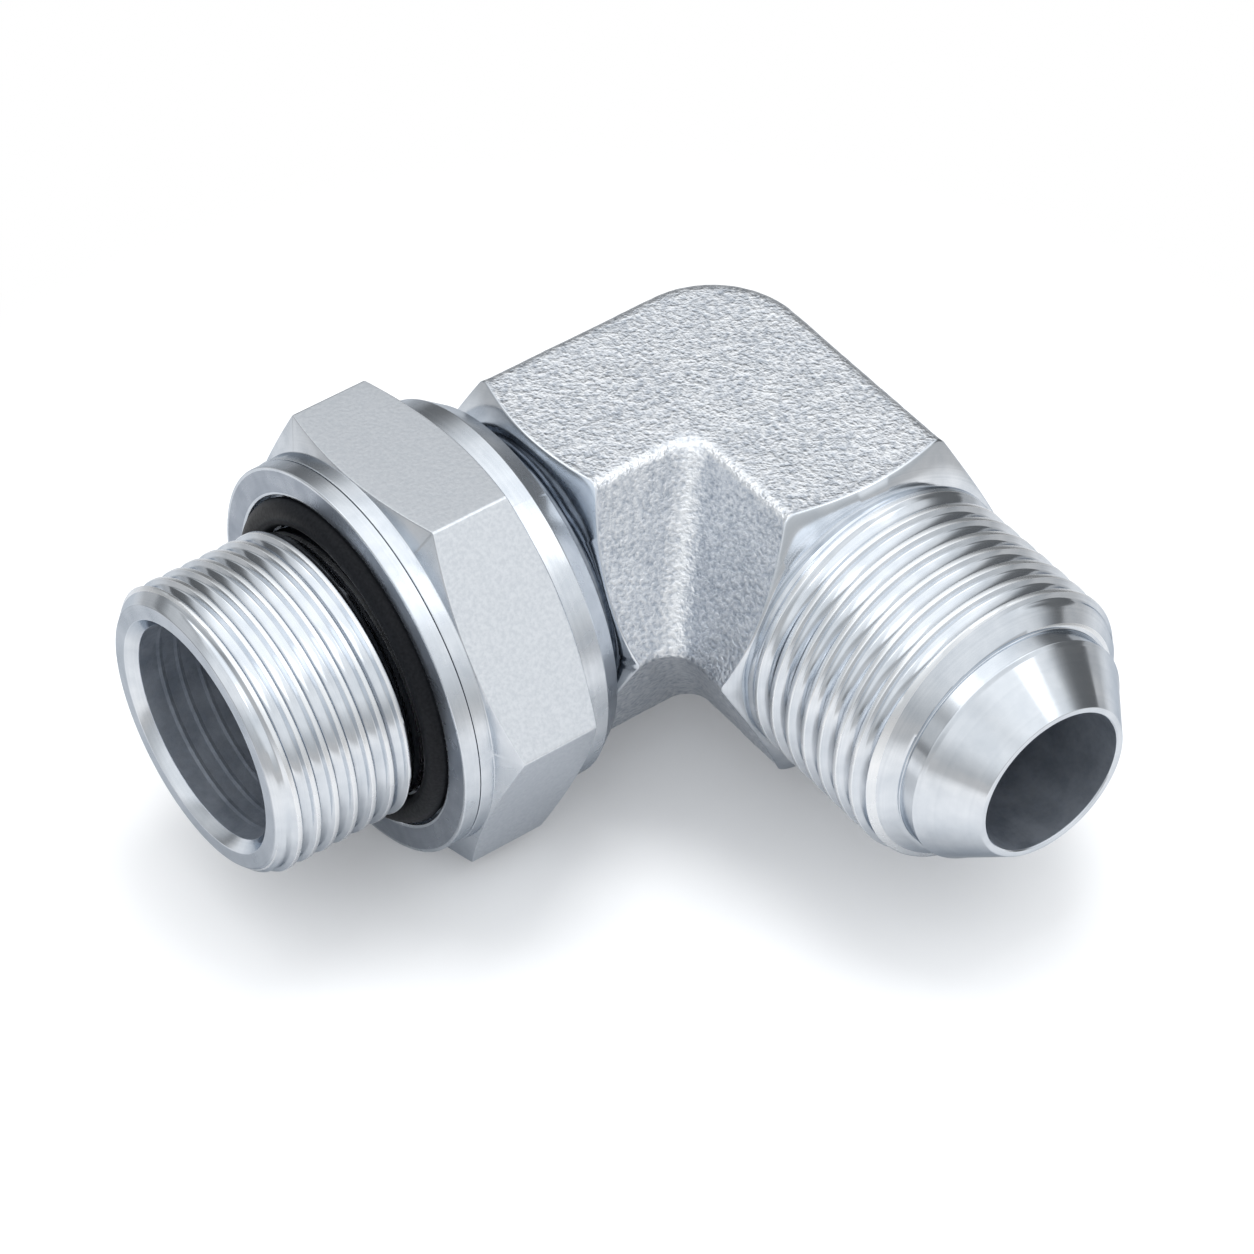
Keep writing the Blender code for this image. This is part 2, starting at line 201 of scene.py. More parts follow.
class Skin:
    """Collects lattices of points in millimetres and writes them as one object."""

    def __init__(self, name: str) -> None:
        """Start an empty skin.

        Args:
            name: The object's name.
        """
        self.name = name
        self.points: list[np.ndarray] = []
        self.quads: list[np.ndarray] = []
        self.finishes: list[np.ndarray] = []
        self.count = 0

    def add_lattice(
        self,
        grid: np.ndarray,
        finishes: int | Sequence[int] = 0,
        wrap_rows: bool = False,
        wrap_columns: bool = True,
    ) -> None:
        """Skin a lattice whose rows run along an axis and whose columns run round it.

        Args:
            grid: Points as rows, columns and coordinates.
            finishes: Material index of all bands, or of the band after each row.
            wrap_rows: Whether the last row joins the first.
            wrap_columns: Whether the last column joins the first.
        """
        rows, columns = grid.shape[:2]
        number = np.arange(rows * columns).reshape(rows, columns) + self.count
        row_band = np.arange(rows if wrap_rows else rows - 1)
        column_band = np.arange(columns if wrap_columns else columns - 1)
        row, column = np.meshgrid(row_band, column_band, indexing="ij")
        next_row = (row + 1) % rows
        next_column = (column + 1) % columns
        corners = [
            number[row, column],
            number[row, next_column],
            number[next_row, next_column],
            number[next_row, column],
        ]
        self.points.append(grid.reshape(-1, 3))
        self.quads.append(np.stack(corners, axis=-1).reshape(-1, 4))
        band_finish = np.full(rows, finishes) if np.isscalar(finishes) else np.asarray(finishes)
        self.finishes.append(band_finish[row].reshape(-1))
        self.count += rows * columns

    def mesh(self) -> bpy.types.Mesh:
        """Write the lattices as one mesh whose seams aren't welded yet.

        Returns:
            The mesh in metres, with the finish of each face.
        """
        mesh = bpy.data.meshes.new(self.name)
        points = np.concatenate(self.points) * MM
        mesh.from_pydata(points.tolist(), [], np.concatenate(self.quads).tolist())
        mesh.polygons.foreach_set("material_index", np.concatenate(self.finishes).astype(np.int32))
        return mesh

    def build(self, materials: Sequence[bpy.types.Material], sharp_angle: float) -> bpy.types.Object:
        """Weld the lattices into one closed mesh and link it to the scene.

        Args:
            materials: The finishes, in the order of their indices.
            sharp_angle: Edges that turn by more than this many degrees stay sharp.

        Returns:
            The new object, with its origin at the frame's origin.
        """
        mesh = self.mesh()
        weld(mesh)
        return dress_mesh(mesh, materials, sharp_angle)


def weld(mesh: bpy.types.Mesh, lining: bpy.types.Mesh | None = None, finish: int = 0) -> None:
    """Weld a mesh's seams and turn its faces outwards.

    Args:
        mesh: The mesh to weld.
        lining: A mesh to join to it first, which is used up.
        finish: Index of the finish on the lining.
    """
    bm = bmesh.new()
    bm.from_mesh(mesh)
    if lining is not None:
        own_faces = len(bm.faces)
        bm.from_mesh(lining)
        bm.faces.ensure_lookup_table()
        for face in bm.faces[own_faces:]:
            face.material_index = finish
        bpy.data.meshes.remove(lining)
    bmesh.ops.remove_doubles(bm, verts=bm.verts, dist=WELD_DISTANCE * MM)
    bmesh.ops.recalc_face_normals(bm, faces=bm.faces)
    bm.to_mesh(mesh)
    bm.free()


def dress_mesh(
    mesh: bpy.types.Mesh, materials: Sequence[bpy.types.Material], sharp_angle: float
) -> bpy.types.Object:
    """Give a mesh its finishes and smooth shading, and link it as an object.

    Args:
        mesh: The mesh, whose name the object takes.
        materials: The finishes, in the order of their indices.
        sharp_angle: Edges that turn by more than this many degrees stay sharp.

    Returns:
        The new object.
    """
    for material in materials:
        mesh.materials.append(material)
    mesh.shade_smooth()
    mesh.set_sharp_from_angle(angle=math.radians(sharp_angle))
    piece = bpy.data.objects.new(mesh.name, mesh)
    bpy.context.scene.collection.objects.link(piece)
    shading = piece.modifiers.new("even shading", "WEIGHTED_NORMAL")
    shading.mode = "FACE_AREA"
    shading.keep_sharp = True
    return piece


def hand_over(piece: bpy.types.Object, body: Body, slot: Slot, *nodes: str) -> None:
    """Make a piece ride on its body and stand in for its CAD nodes.

    Args:
        piece: The finished object.
        body: The body that carries it.
        slot: The record's material slot that it belongs to; not used.
        nodes: The CAD nodes that it replaces.
    """
    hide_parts(*nodes)
    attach(piece, body.value)
    LOG.info("%s rides on %s with %d faces", piece.name, body.value, len(piece.data.polygons))


def turned_lattice(axis: Axis, points: Profile, angles: np.ndarray) -> np.ndarray:
    """Turn a profile about an axis through the given column angles."""
    profile = np.array(points)
    return axis.place(profile[:, 0][:, None], profile[:, 1][:, None], angles[None, :])


def circle_angles(columns: int, start: float = 0.0) -> np.ndarray:
    """Return evenly spaced column angles from a start angle, in radians."""
    return start + 2 * math.pi * np.arange(columns) / columns


# Finishes


class Wiring:
    """Adds and joins the nodes of one shader tree."""

    def __init__(self, tree: bpy.types.NodeTree) -> None:
        """Keep the tree that the nodes go into."""
        self.tree = tree

    def feed(self, node: bpy.types.Node, feeds: Feeds) -> None:
        """Set constants on a node's inputs and link outputs to them.

        Args:
            node: The node to feed.
            feeds: A constant or an output for each input, by name or number.
        """
        for place, value in feeds.items():
            if isinstance(value, Socket):
                self.tree.links.new(value, node.inputs[place])
            else:
                node.inputs[place].default_value = value

    def add(self, kind: str, feeds: Feeds | None = None, **options: object) -> bpy.types.Node:
        """Add a node.

        Args:
            kind: The node's type.
            feeds: A constant or an output for each input, by name or number.
            **options: The node's own settings.

        Returns:
            The new node.
        """
        node = self.tree.nodes.new(kind)
        for name, setting in options.items():
            setattr(node, name, setting)
        self.feed(node, feeds or {})
        return node

    def work_out(self, operation: str, *terms: Feed, **options: object) -> Socket:
        """Return the result of one operation on its terms."""
        return self.add("ShaderNodeMath", dict(enumerate(terms)), operation=operation, **options).outputs[0]

    def length(self, vector: Socket) -> Socket:
        """Return the length of a vector."""
        return self.add("ShaderNodeVectorMath", {0: vector}, operation="LENGTH").outputs["Value"]

    def weigh(self, first: Socket, second: Socket, weight: float) -> Socket:
        """Return first plus second times a weight."""
        return self.work_out("MULTIPLY_ADD", second, weight, first)

    def spread(
        self,
        value: Socket,
        low: float,
        high: float,
        start: float = 0.3,
        end: float = 0.7,
        easing: str = "LINEAR",
    ) -> Socket:
        """Map a value to another range.

        Args:
            value: The value to map.
            low: Result at the start and before it.
            high: Result at the end and past it.
            start: Value that gives low.
            end: Value that gives high.
            easing: How the result moves between them.

        Returns:
            The mapped value.
        """
        feeds = {"Value": value, "From Min": start, "From Max": end, "To Min": low, "To Max": high}
        return self.add("ShaderNodeMapRange", feeds, interpolation_type=easing).outputs["Result"]

    def blend(self, share: Socket, first: Socket | Color, second: Socket | Color) -> Socket:
        """Return the color between two, by a share from 0 to 1."""
        tints = [tint if isinstance(tint, Socket) else (*tint, 1) for tint in (first, second)]
        return self.add("ShaderNodeMix", {0: share, 6: tints[0], 7: tints[1]}, data_type="RGBA").outputs[2]

    def mix(self, share: Socket, first: bpy.types.Node, second: bpy.types.Node | None) -> bpy.types.Node:
        """Mix two shaders.

        Args:
            share: Share of the second one, from 0 to 1.
            first: The first shader.
            second: The second shader, or None for black.

        Returns:
            The mixing node.
        """
        feeds = {0: share, 1: first.outputs[0]}
        if second is not None:
            feeds[2] = second.outputs[0]
        return self.add("ShaderNodeMixShader", feeds)


class NodeSheet(Wiring):
    """The nodes of one material."""

    def __init__(self, name: str) -> None:
        """Start a material that holds one Principled shader.

        Args:
            name: The material's name.
        """
        self.material = bpy.data.materials.new(name)
        self.material.use_nodes = True
        super().__init__(self.material.node_tree)
        self.shader = self.tree.nodes["Principled BSDF"]

    def place(
        self, centre: Sequence[float] = (0, 0, 0), scale: Sequence[float] = (1, 1, 1), turn: float = 0.0
    ) -> Socket:
        """Return object coordinates moved to a centre, then turned about Z and scaled.

        Args:
            centre: The new zero, in metres.
            scale: Scale along each axis after the turn.
            turn: Turn about the vertical, in degrees.

        Returns:
            The coordinates.
        """
        whole = self.add("ShaderNodeTexCoord").outputs["Object"]
        moved = self.add("ShaderNodeVectorMath", {0: whole, 1: tuple(centre)}, operation="SUBTRACT")
        feeds = {"Vector": moved.outputs[0], "Rotation": (0, 0, math.radians(turn)), "Scale": tuple(scale)}
        return self.add("ShaderNodeMapping", feeds).outputs[0]

    def grain(self, vector: Socket, size_mm: float, detail: float, roughness: float = 0.5) -> Socket:
        """Return the value of a noise whose features are about size_mm across."""
        feeds = {"Vector": vector, "Scale": 1 / (size_mm * MM), "Detail": detail, "Roughness": roughness}
        return self.add("ShaderNodeTexNoise", feeds).outputs["Fac"]

    def cells(self, vector: Socket, size_mm: float, smoothness: float) -> Socket:
        """Return the distance field of soft cells about size_mm across."""
        feeds = {"Vector": vector, "Scale": 1 / (size_mm * MM), "Smoothness": smoothness}
        return self.add("ShaderNodeTexVoronoi", feeds, feature="SMOOTH_F1").outputs["Distance"]

    def seen(self) -> Socket:
        """Return 1 for rays from the camera and through gloss or glass, and 0 for the rest.

        Returns:
            The larger of the three rays' marks.
        """
        rays = self.add("ShaderNodeLightPath").outputs
        mirrored = self.work_out("MAXIMUM", rays["Is Camera Ray"], rays["Is Glossy Ray"])
        return self.work_out("MAXIMUM", mirrored, rays["Is Transmission Ray"])

    def metal(self, edge: Color) -> None:
        """Make the shader a metal whose reflection takes the edge tint at grazing angles."""
        self.feed(self.shader, {"Metallic": 1.0, "Specular Tint": (*edge, 1)})

    def coat(self, color: Socket, roughness: Socket, height: Socket, depth_mm: float) -> bpy.types.Material:
        """Give the shader its color, roughness and relief.

        Args:
            color: The color.
            roughness: The roughness.
            height: The height of the relief, from about 0 to 1.
            depth_mm: The relief's depth.

        Returns:
            The finished material.
        """
        bump = self.add("ShaderNodeBump", {"Strength": 1.0, "Distance": depth_mm * MM, "Height": height})
        self.feed(self.shader, {"Base Color": color, "Roughness": roughness, "Normal": bump.outputs[0]})
        return self.material


@dataclass(frozen=True)
class BlastedZinc:
    """Zinc on a shot-blasted forging: pebbled, with a painted highlight on its peaks and painted shade in
    its pits.
    """

    # The pit and peak colours paint the relief's shade and highlight into its colour.
    pit_shade: Color = (0.50, 0.54, 0.60)
    peak_highlight: Color = (0.93, 0.94, 0.96)
    edge: Color = (0.70, 0.74, 0.79)
    # Pale colour of the edges: edge wear together with a painted highlight, and a painted highlight in the
    # crotch.
    wear_and_highlight: Color = (0.90, 0.915, 0.935)
    pebble_mm: float = 0.44
    dimple_mm: float = 0.352
    speck_mm: float = 0.20
    cloud_mm: float = 3.2
    dimple_weight: float = 0.25
    speck_weight: float = 0.22
    cloud_weight: float = 0.25
    depth_mm: float = 0.13
    streak_turn: float = -54.0
    streak_squeeze: float = 0.95
    smooth: float = 0.30
    coarse: float = 0.38

    def material(self) -> bpy.types.Material:
        """Make the finish, paler where the mesh's edge attribute says so: edge wear with a painted
        highlight.

        Returns:
            The material.
        """
        sheet = NodeSheet("blasted zinc")
        vector = sheet.place(scale=(self.streak_squeeze, 1, 1), turn=self.streak_turn)
        pebbles = sheet.grain(vector, self.pebble_mm, 2.0, 0.6)
        dimples = sheet.cells(vector, self.dimple_mm, 0.5)
        specks = sheet.grain(vector, self.speck_mm, 2.0, 0.6)
        height = sheet.weigh(sheet.weigh(pebbles, dimples, self.dimple_weight), specks, self.speck_weight)
        clouds = sheet.grain(sheet.place(), self.cloud_mm, 3.0)
        # Greyer in the relief's pits and paler on its peaks: painted shade and highlight, with random clouds
        # of tone on top.
        tone = sheet.spread(sheet.weigh(height, clouds, self.cloud_weight), 0, 1, 0.60, 1.02)
        # The mesh's attribute paints the pale edges: edge wear with a painted highlight, and a painted
        # highlight in the crotch.
        wear_and_glint = sheet.add("ShaderNodeAttribute", attribute_name="wear_and_highlight").outputs["Fac"]
        patches = sheet.spread(height, 0.25, 1.05, 0.52, 0.80)
        brightened = sheet.work_out("MULTIPLY", wear_and_glint, patches, use_clamp=True)
        color = sheet.blend(brightened, sheet.blend(tone, self.pit_shade, self.peak_highlight), self.wear_and_highlight)
        sheet.metal(self.edge)
        return sheet.coat(color, sheet.spread(clouds, self.coarse, self.smooth), height, self.depth_mm)


@dataclass(frozen=True)
class TurnedZinc:
    """Zinc on turned steel: fine tool marks run round an axis.

    Attributes:
        name: Name of the material.
        centre: A point on the turning axis, in metres.
        along: Index of the coordinate that runs along the axis.
        dark: Color of the greyer clouds.
        light: Color of the paler clouds.
        edge: Tint of the metal at grazing angles.
        mark_mm: Spacing of the tool marks.
        depth_mm: Depth of the tool marks.
        smooth: Roughness of the smoothest clouds.
        coarse: Roughness of the roughest clouds.
        cloud_mm: Size of the clouds.
        speck_mm: Size of the specks between the marks.
        facing: How much closer the marks stand on a face than along the axis.
    """

    name: str
    centre: tuple[float, float, float]
    along: int
    dark: Color = (0.66, 0.70, 0.75)
    light: Color = (0.82, 0.85, 0.89)
    edge: Color = (0.55, 0.59, 0.64)
    mark_mm: float = 0.16
    depth_mm: float = 0.0012
    smooth: float = 0.10
    coarse: float = 0.17
    cloud_mm: float = 2.6
    speck_mm: float = 0.12
    facing: float = 1.7

    def material(self) -> bpy.types.Material:
        """Make the finish.

        Returns:
            The material.
        """
        sheet = NodeSheet(self.name)
        local = sheet.place(self.centre)
        reach = sheet.add("ShaderNodeSeparateXYZ", {0: local}).outputs[self.along]
        crossways = tuple(0 if index == self.along else 1 for index in range(3))
        across = sheet.add("ShaderNodeVectorMath", {0: local, 1: crossways}, operation="MULTIPLY")
        track = sheet.weigh(reach, sheet.length(across.outputs[0]), self.facing)
        counted = sheet.work_out("MULTIPLY", track, 1 / (self.mark_mm * MM))
        feeds = {"W": counted, "Scale": 1.0, "Detail": 2.0}
        marks = sheet.add("ShaderNodeTexNoise", feeds, noise_dimensions="1D").outputs["Fac"]
        clouds = sheet.grain(local, self.cloud_mm, 3.0)
        height = sheet.weigh(marks, sheet.grain(local, self.speck_mm, 1.0), 0.3)
        tone = sheet.spread(sheet.weigh(clouds, marks, 0.25), 0, 1, 0.40, 0.85)
        color = sheet.blend(tone, self.dark, self.light)
        sheet.metal(self.edge)
        return sheet.coat(color, sheet.spread(clouds, self.coarse, self.smooth), height, self.depth_mm)


@dataclass(frozen=True)
class SatinZinc:
    """Zinc on the nut's drawn flats: an even, very fine satin grain."""

    dark: Color = (0.76, 0.79, 0.83)
    light: Color = (0.86, 0.885, 0.92)
    edge: Color = (0.66, 0.70, 0.75)
    grain_mm: float = 0.34
    speck_mm: float = 0.12
    depth_mm: float = 0.010
    smooth: float = 0.32
    coarse: float = 0.38

    def material(self) -> bpy.types.Material:
        """Make the finish.

        Returns:
            The material.
        """
        sheet = NodeSheet("satin zinc")
        vector = sheet.place()
        fine = sheet.grain(vector, self.grain_mm, 1.0, 0.5)
        height = sheet.weigh(fine, sheet.grain(vector, self.speck_mm, 2.0, 0.6), 0.5)
        color = sheet.blend(sheet.spread(height, 0, 1, 0.55, 0.95), self.dark, self.light)
        sheet.metal(self.edge)
        return sheet.coat(color, sheet.spread(fine, self.coarse, self.smooth), height, self.depth_mm)


@dataclass(frozen=True)
class DrilledSteel:
    """The drilled passage: greyer steel, duller than the turned ends."""

    dark: Color = (0.38, 0.42, 0.48)
    light: Color = (0.62, 0.66, 0.72)
    metallic: float = 0.85
    scratch_mm: float = 0.6
    cloud_mm: float = 3.0
    depth_mm: float = 0.004
    smooth: float = 0.34
    coarse: float = 0.46

    def material(self) -> bpy.types.Material:
        """Make the finish.

        Returns:
            The material.
        """
        sheet = NodeSheet("drilled steel")
        vector = sheet.place()
        scratches = sheet.grain(vector, self.scratch_mm, 3.0, 0.6)
        clouds = sheet.grain(vector, self.cloud_mm, 3.0)
        tone = sheet.spread(sheet.weigh(clouds, scratches, 0.4), 0, 1, 0.5, 0.9)
        color = sheet.blend(tone, self.dark, self.light)
        sheet.feed(sheet.shader, {"Metallic": self.metallic})
        return sheet.coat(color, sheet.spread(scratches, self.coarse, self.smooth), scratches, self.depth_mm)


@dataclass(frozen=True)
class NitrileRubber:
    """Black seal rubber with a fine moulded skin."""

    dark: Color = (0.006, 0.007, 0.009)
    light: Color = (0.013, 0.014, 0.017)
    shine: float = 0.12
    skin_mm: float = 0.25
    depth_mm: float = 0.012
    smooth: float = 0.40
    coarse: float = 0.50

    def material(self) -> bpy.types.Material:
        """Make the finish.

        Returns:
            The material.
        """
        sheet = NodeSheet("nitrile rubber")
        skin = sheet.grain(sheet.place(), self.skin_mm, 3.0)
        color = sheet.blend(sheet.spread(skin, 0, 1), self.dark, self.light)
        sheet.feed(sheet.shader, {"Specular IOR Level": self.shine})
        return sheet.coat(color, sheet.spread(skin, self.coarse, self.smooth), skin, self.depth_mm)


@dataclass(frozen=True)
class Finishes:
    """Every finish of the adapter, made once."""

    blasted: bpy.types.Material
    stud_turned: bpy.types.Material
    stud_painted_shade: bpy.types.Material
    stud_faced: bpy.types.Material
    stud_crest_highlight: bpy.types.Material
    flare_turned: bpy.types.Material
    flare_crest_highlight: bpy.types.Material
    nut_turned: bpy.types.Material
    ring_face: bpy.types.Material
    satin: bpy.types.Material
    drilled: bpy.types.Material
    rubber: bpy.types.Material

    @classmethod
    def make(cls, crossing: Vector) -> "Finishes":
        """Make the finishes, with the tool marks centred on the arms' axes.

        Args:
            crossing: Where the arms' axes cross, in metres.

        Returns:
            The finishes.
        """
        centre = tuple(crossing)
        flare_axis, stud_axis = 0, 1
        coarser = {"mark_mm": 0.30, "depth_mm": 0.003, "smooth": 0.20, "coarse": 0.30}
        # A paler finish for the thread crests: a painted highlight.
        crest_highlight = {"dark": (0.86, 0.885, 0.91), "light": (0.95, 0.96, 0.975), "edge": (0.80, 0.83, 0.87)}
        crest_highlight |= {"smooth": 0.24, "coarse": 0.32}
        # A darker finish for the thread behind the nut: painted shade in the gap between nut and forging.
        painted_shade = {"dark": (0.11, 0.13, 0.16), "light": (0.32, 0.35, 0.40), "smooth": 0.16, "coarse": 0.26}
        faced = {"dark": (0.52, 0.555, 0.60), "light": (0.66, 0.69, 0.735), "mark_mm": 0.20}
        faced |= {"depth_mm": 0.003, "smooth": 0.20, "coarse": 0.28}
        ring = {"dark": (0.38, 0.41, 0.46), "light": (0.53, 0.56, 0.61), "mark_mm": 0.22}
        ring |= {"depth_mm": 0.003, "smooth": 0.24, "coarse": 0.34}
        turned = {
            "stud_turned": TurnedZinc("turned zinc of the stud", centre, stud_axis),
            "stud_painted_shade": TurnedZinc("zinc behind the nut with painted shade", centre, stud_axis, **painted_shade),
            "stud_faced": TurnedZinc("faced zinc of the stud", centre, stud_axis, **faced),
            "stud_crest_highlight": TurnedZinc("zinc of the stud with painted crest highlight", centre, stud_axis, **crest_highlight),
            "flare_turned": TurnedZinc("turned zinc of the flare end", centre, flare_axis),
            "flare_crest_highlight": TurnedZinc("zinc of the flare end with painted crest highlight", centre, flare_axis, **crest_highlight),
            "nut_turned": TurnedZinc("turned zinc of the nut", centre, stud_axis, **coarser),
            "ring_face": TurnedZinc("turned zinc of the ring", centre, stud_axis, **ring),
        }
        return cls(
            blasted=BlastedZinc().material(),
            satin=SatinZinc().material(),
            drilled=DrilledSteel().material(),
            rubber=NitrileRubber().material(),
            **{use: finish.material() for use, finish in turned.items()},
        )


# Threads


@dataclass(frozen=True)
class Thread:
    """A right-handed thread, with narrow crests between wide, almost flat valleys.

    Attributes:
        pitch: Distance from crest to crest.
        major_radius: Radius of the crests.
        crest_reach: Reach of one crest at crest_angle.
        crest_angle: Angle about the axis at which that crest is measured, in degrees.
        depth: Depth of a valley's middle below the crests.
        crest_half_flat: Half the width of a crest.
        crest_round: Radius on the edges of a crest.
        root_round: Radius at the foot of a flank.
        flank_slope: Angle between a flank and the axis, in degrees.
        floor_slope: Angle at which the valley's floor leaves the flank's foot, in degrees.
        highlight_depth: Depth below the crests down to which they take a paler finish, a painted highlight.
    """

    pitch: float
    major_radius: float
    crest_reach: float
    crest_angle: float
    depth: float
    crest_half_flat: float
    crest_round: float
    root_round: float
    flank_slope: float = 62.0
    floor_slope: float = 10.0
    # Crests down to this depth take a paler finish that paints their highlight.
    highlight_depth: float = 0.08

    def half_pitch_profile(self) -> Profile:
        """Return the thread's section over half a pitch.

        Returns:
            Offsets and drops, from the middle of a crest to the middle of a valley.
        """
        slope = math.radians(self.flank_slope)
        rise = math.radians(self.floor_slope)
        points = [(0.0, 0.0), (self.crest_half_flat, 0.0)]
        for share in (1 / 3, 2 / 3, 1):
            angle = slope * share
            offset = self.crest_half_flat + self.crest_round * math.sin(angle)
            points.append((offset, self.crest_round * (1 - math.cos(angle))))
        offset, drop = points[-1]
        foot_width = self.root_round * (math.sin(slope) - math.sin(rise))
        foot_drop = self.root_round * (math.cos(rise) - math.cos(slope))
        spare_width = self.pitch / 2 - offset - foot_width
        spare_drop = self.depth - drop - foot_drop - spare_width * math.tan(rise) / 2
        flank_drop = spare_drop / (1 - math.tan(rise) / math.tan(slope) / 2)
        foot_start = offset + flank_drop / math.tan(slope)
        for share in (0, 1 / 3, 2 / 3, 1):
            angle = slope + (rise - slope) * share
            width = self.root_round * (math.sin(slope) - math.sin(angle))
            depth = self.root_round * (math.cos(angle) - math.cos(slope))
            points.append((foot_start + width, drop + flank_drop + depth))
        floor_start, floor_top = points[-1]
        half_floor = self.pitch / 2 - floor_start
        for share in (0.5, 1):
            bow = half_floor * math.tan(rise) / 2 * (1 - (1 - share) ** 2)
            points.append((floor_start + half_floor * share, floor_top + bow))
        return points

    def pitch_profile(self) -> Profile:
        """Return the thread's section over one pitch.

        Returns:
            Offsets and drops, from one crest to just before the next.
        """
        half = self.half_pitch_profile()
        mirrored = [(self.pitch - offset, drop) for offset, drop in reversed(half)]
        return half + mirrored[1:-1]

    def turns_between(self, start: float, end: float) -> np.ndarray:
        """Return the turns that cover two reaches, with some to spare.

        Args:
            start: Reach where the thread starts.
            end: Reach where it ends.

        Returns:
            The turns' numbers, counted from the one that starts at crest_reach.
        """
        first = math.floor((start - self.crest_reach) / self.pitch) - 2
        last = math.ceil((end - self.crest_reach) / self.pitch) + 2
        return np.arange(first, last)

    def bands(self, start: float, end: float, valley: int, crest: int) -> list[int]:
        """Return the finish after each row of the lattice.

        Args:
            start: Reach where the thread starts.
            end: Reach where it ends.
            valley: Index of the finish between the crests.
            crest: Index of the paler finish on the crests and their edges, which paints their highlight.

        Returns:
            One index for each row.
        """
        drops = [drop for _, drop in self.pitch_profile()]
        after = drops[1:] + drops[:1]
        # Bands on the crests take the paler finish, a painted highlight.
        on_crest = [max(pair) < self.highlight_depth for pair in zip(drops, after)]
        one_turn = [crest if brightened else valley for brightened in on_crest]
        return one_turn * len(self.turns_between(start, end))

    def angles(self, columns: int) -> np.ndarray:
        """Return the column angles that a piece with this thread uses."""
        return circle_angles(columns, math.radians(self.crest_angle))

    def lattice(
        self, axis: Axis, start: float, end: float, limit: Profile, columns: int, run_out: float = 0.0
    ) -> np.ndarray:
        """Wind the thread between two reaches, inside a turned blank.

        Args:
            axis: The arm's axis.
            start: Reach where the thread starts.
            end: Reach where it ends.
            limit: Profile of the blank as reach and radius, which the thread never passes.
            columns: Number of steps round the axis.
            run_out: Length past the start over which the thread gains its depth.

        Returns:
            A lattice of one more column than asked, whose last column is the first of the next turn.
        """
        profile = np.array(self.pitch_profile())
        turns = self.turns_between(start, end)
        offsets = (turns[:, None] * self.pitch + profile[None, :, 0]).reshape(-1)
        drops = np.tile(profile[:, 1], len(turns))
        advance = np.arange(columns + 1) / columns
        angle = math.radians(self.crest_angle) + 2 * math.pi * advance
        reach = self.crest_reach + offsets[:, None] + self.pitch * advance[None, :]
        drop = np.broadcast_to(drops[:, None], reach.shape)
        if run_out > 0:
            share = np.clip((reach - start) / run_out, 0, 1)
            drop = drop * share * share * (3 - 2 * share)
        blank = np.array(limit)
        inside = np.clip(reach, start, end)
        radius = np.minimum(self.major_radius - drop, np.interp(inside, blank[:, 0], blank[:, 1]))
        start_radius = np.interp(start, blank[:, 0], blank[:, 1])
        end_radius = np.interp(end, blank[:, 0], blank[:, 1])
        radius = np.where(reach <= start, start_radius, radius)
        radius = np.where(reach >= end, end_radius, radius)
        return axis.place(inside, radius, angle[None, :])


# The elbow body


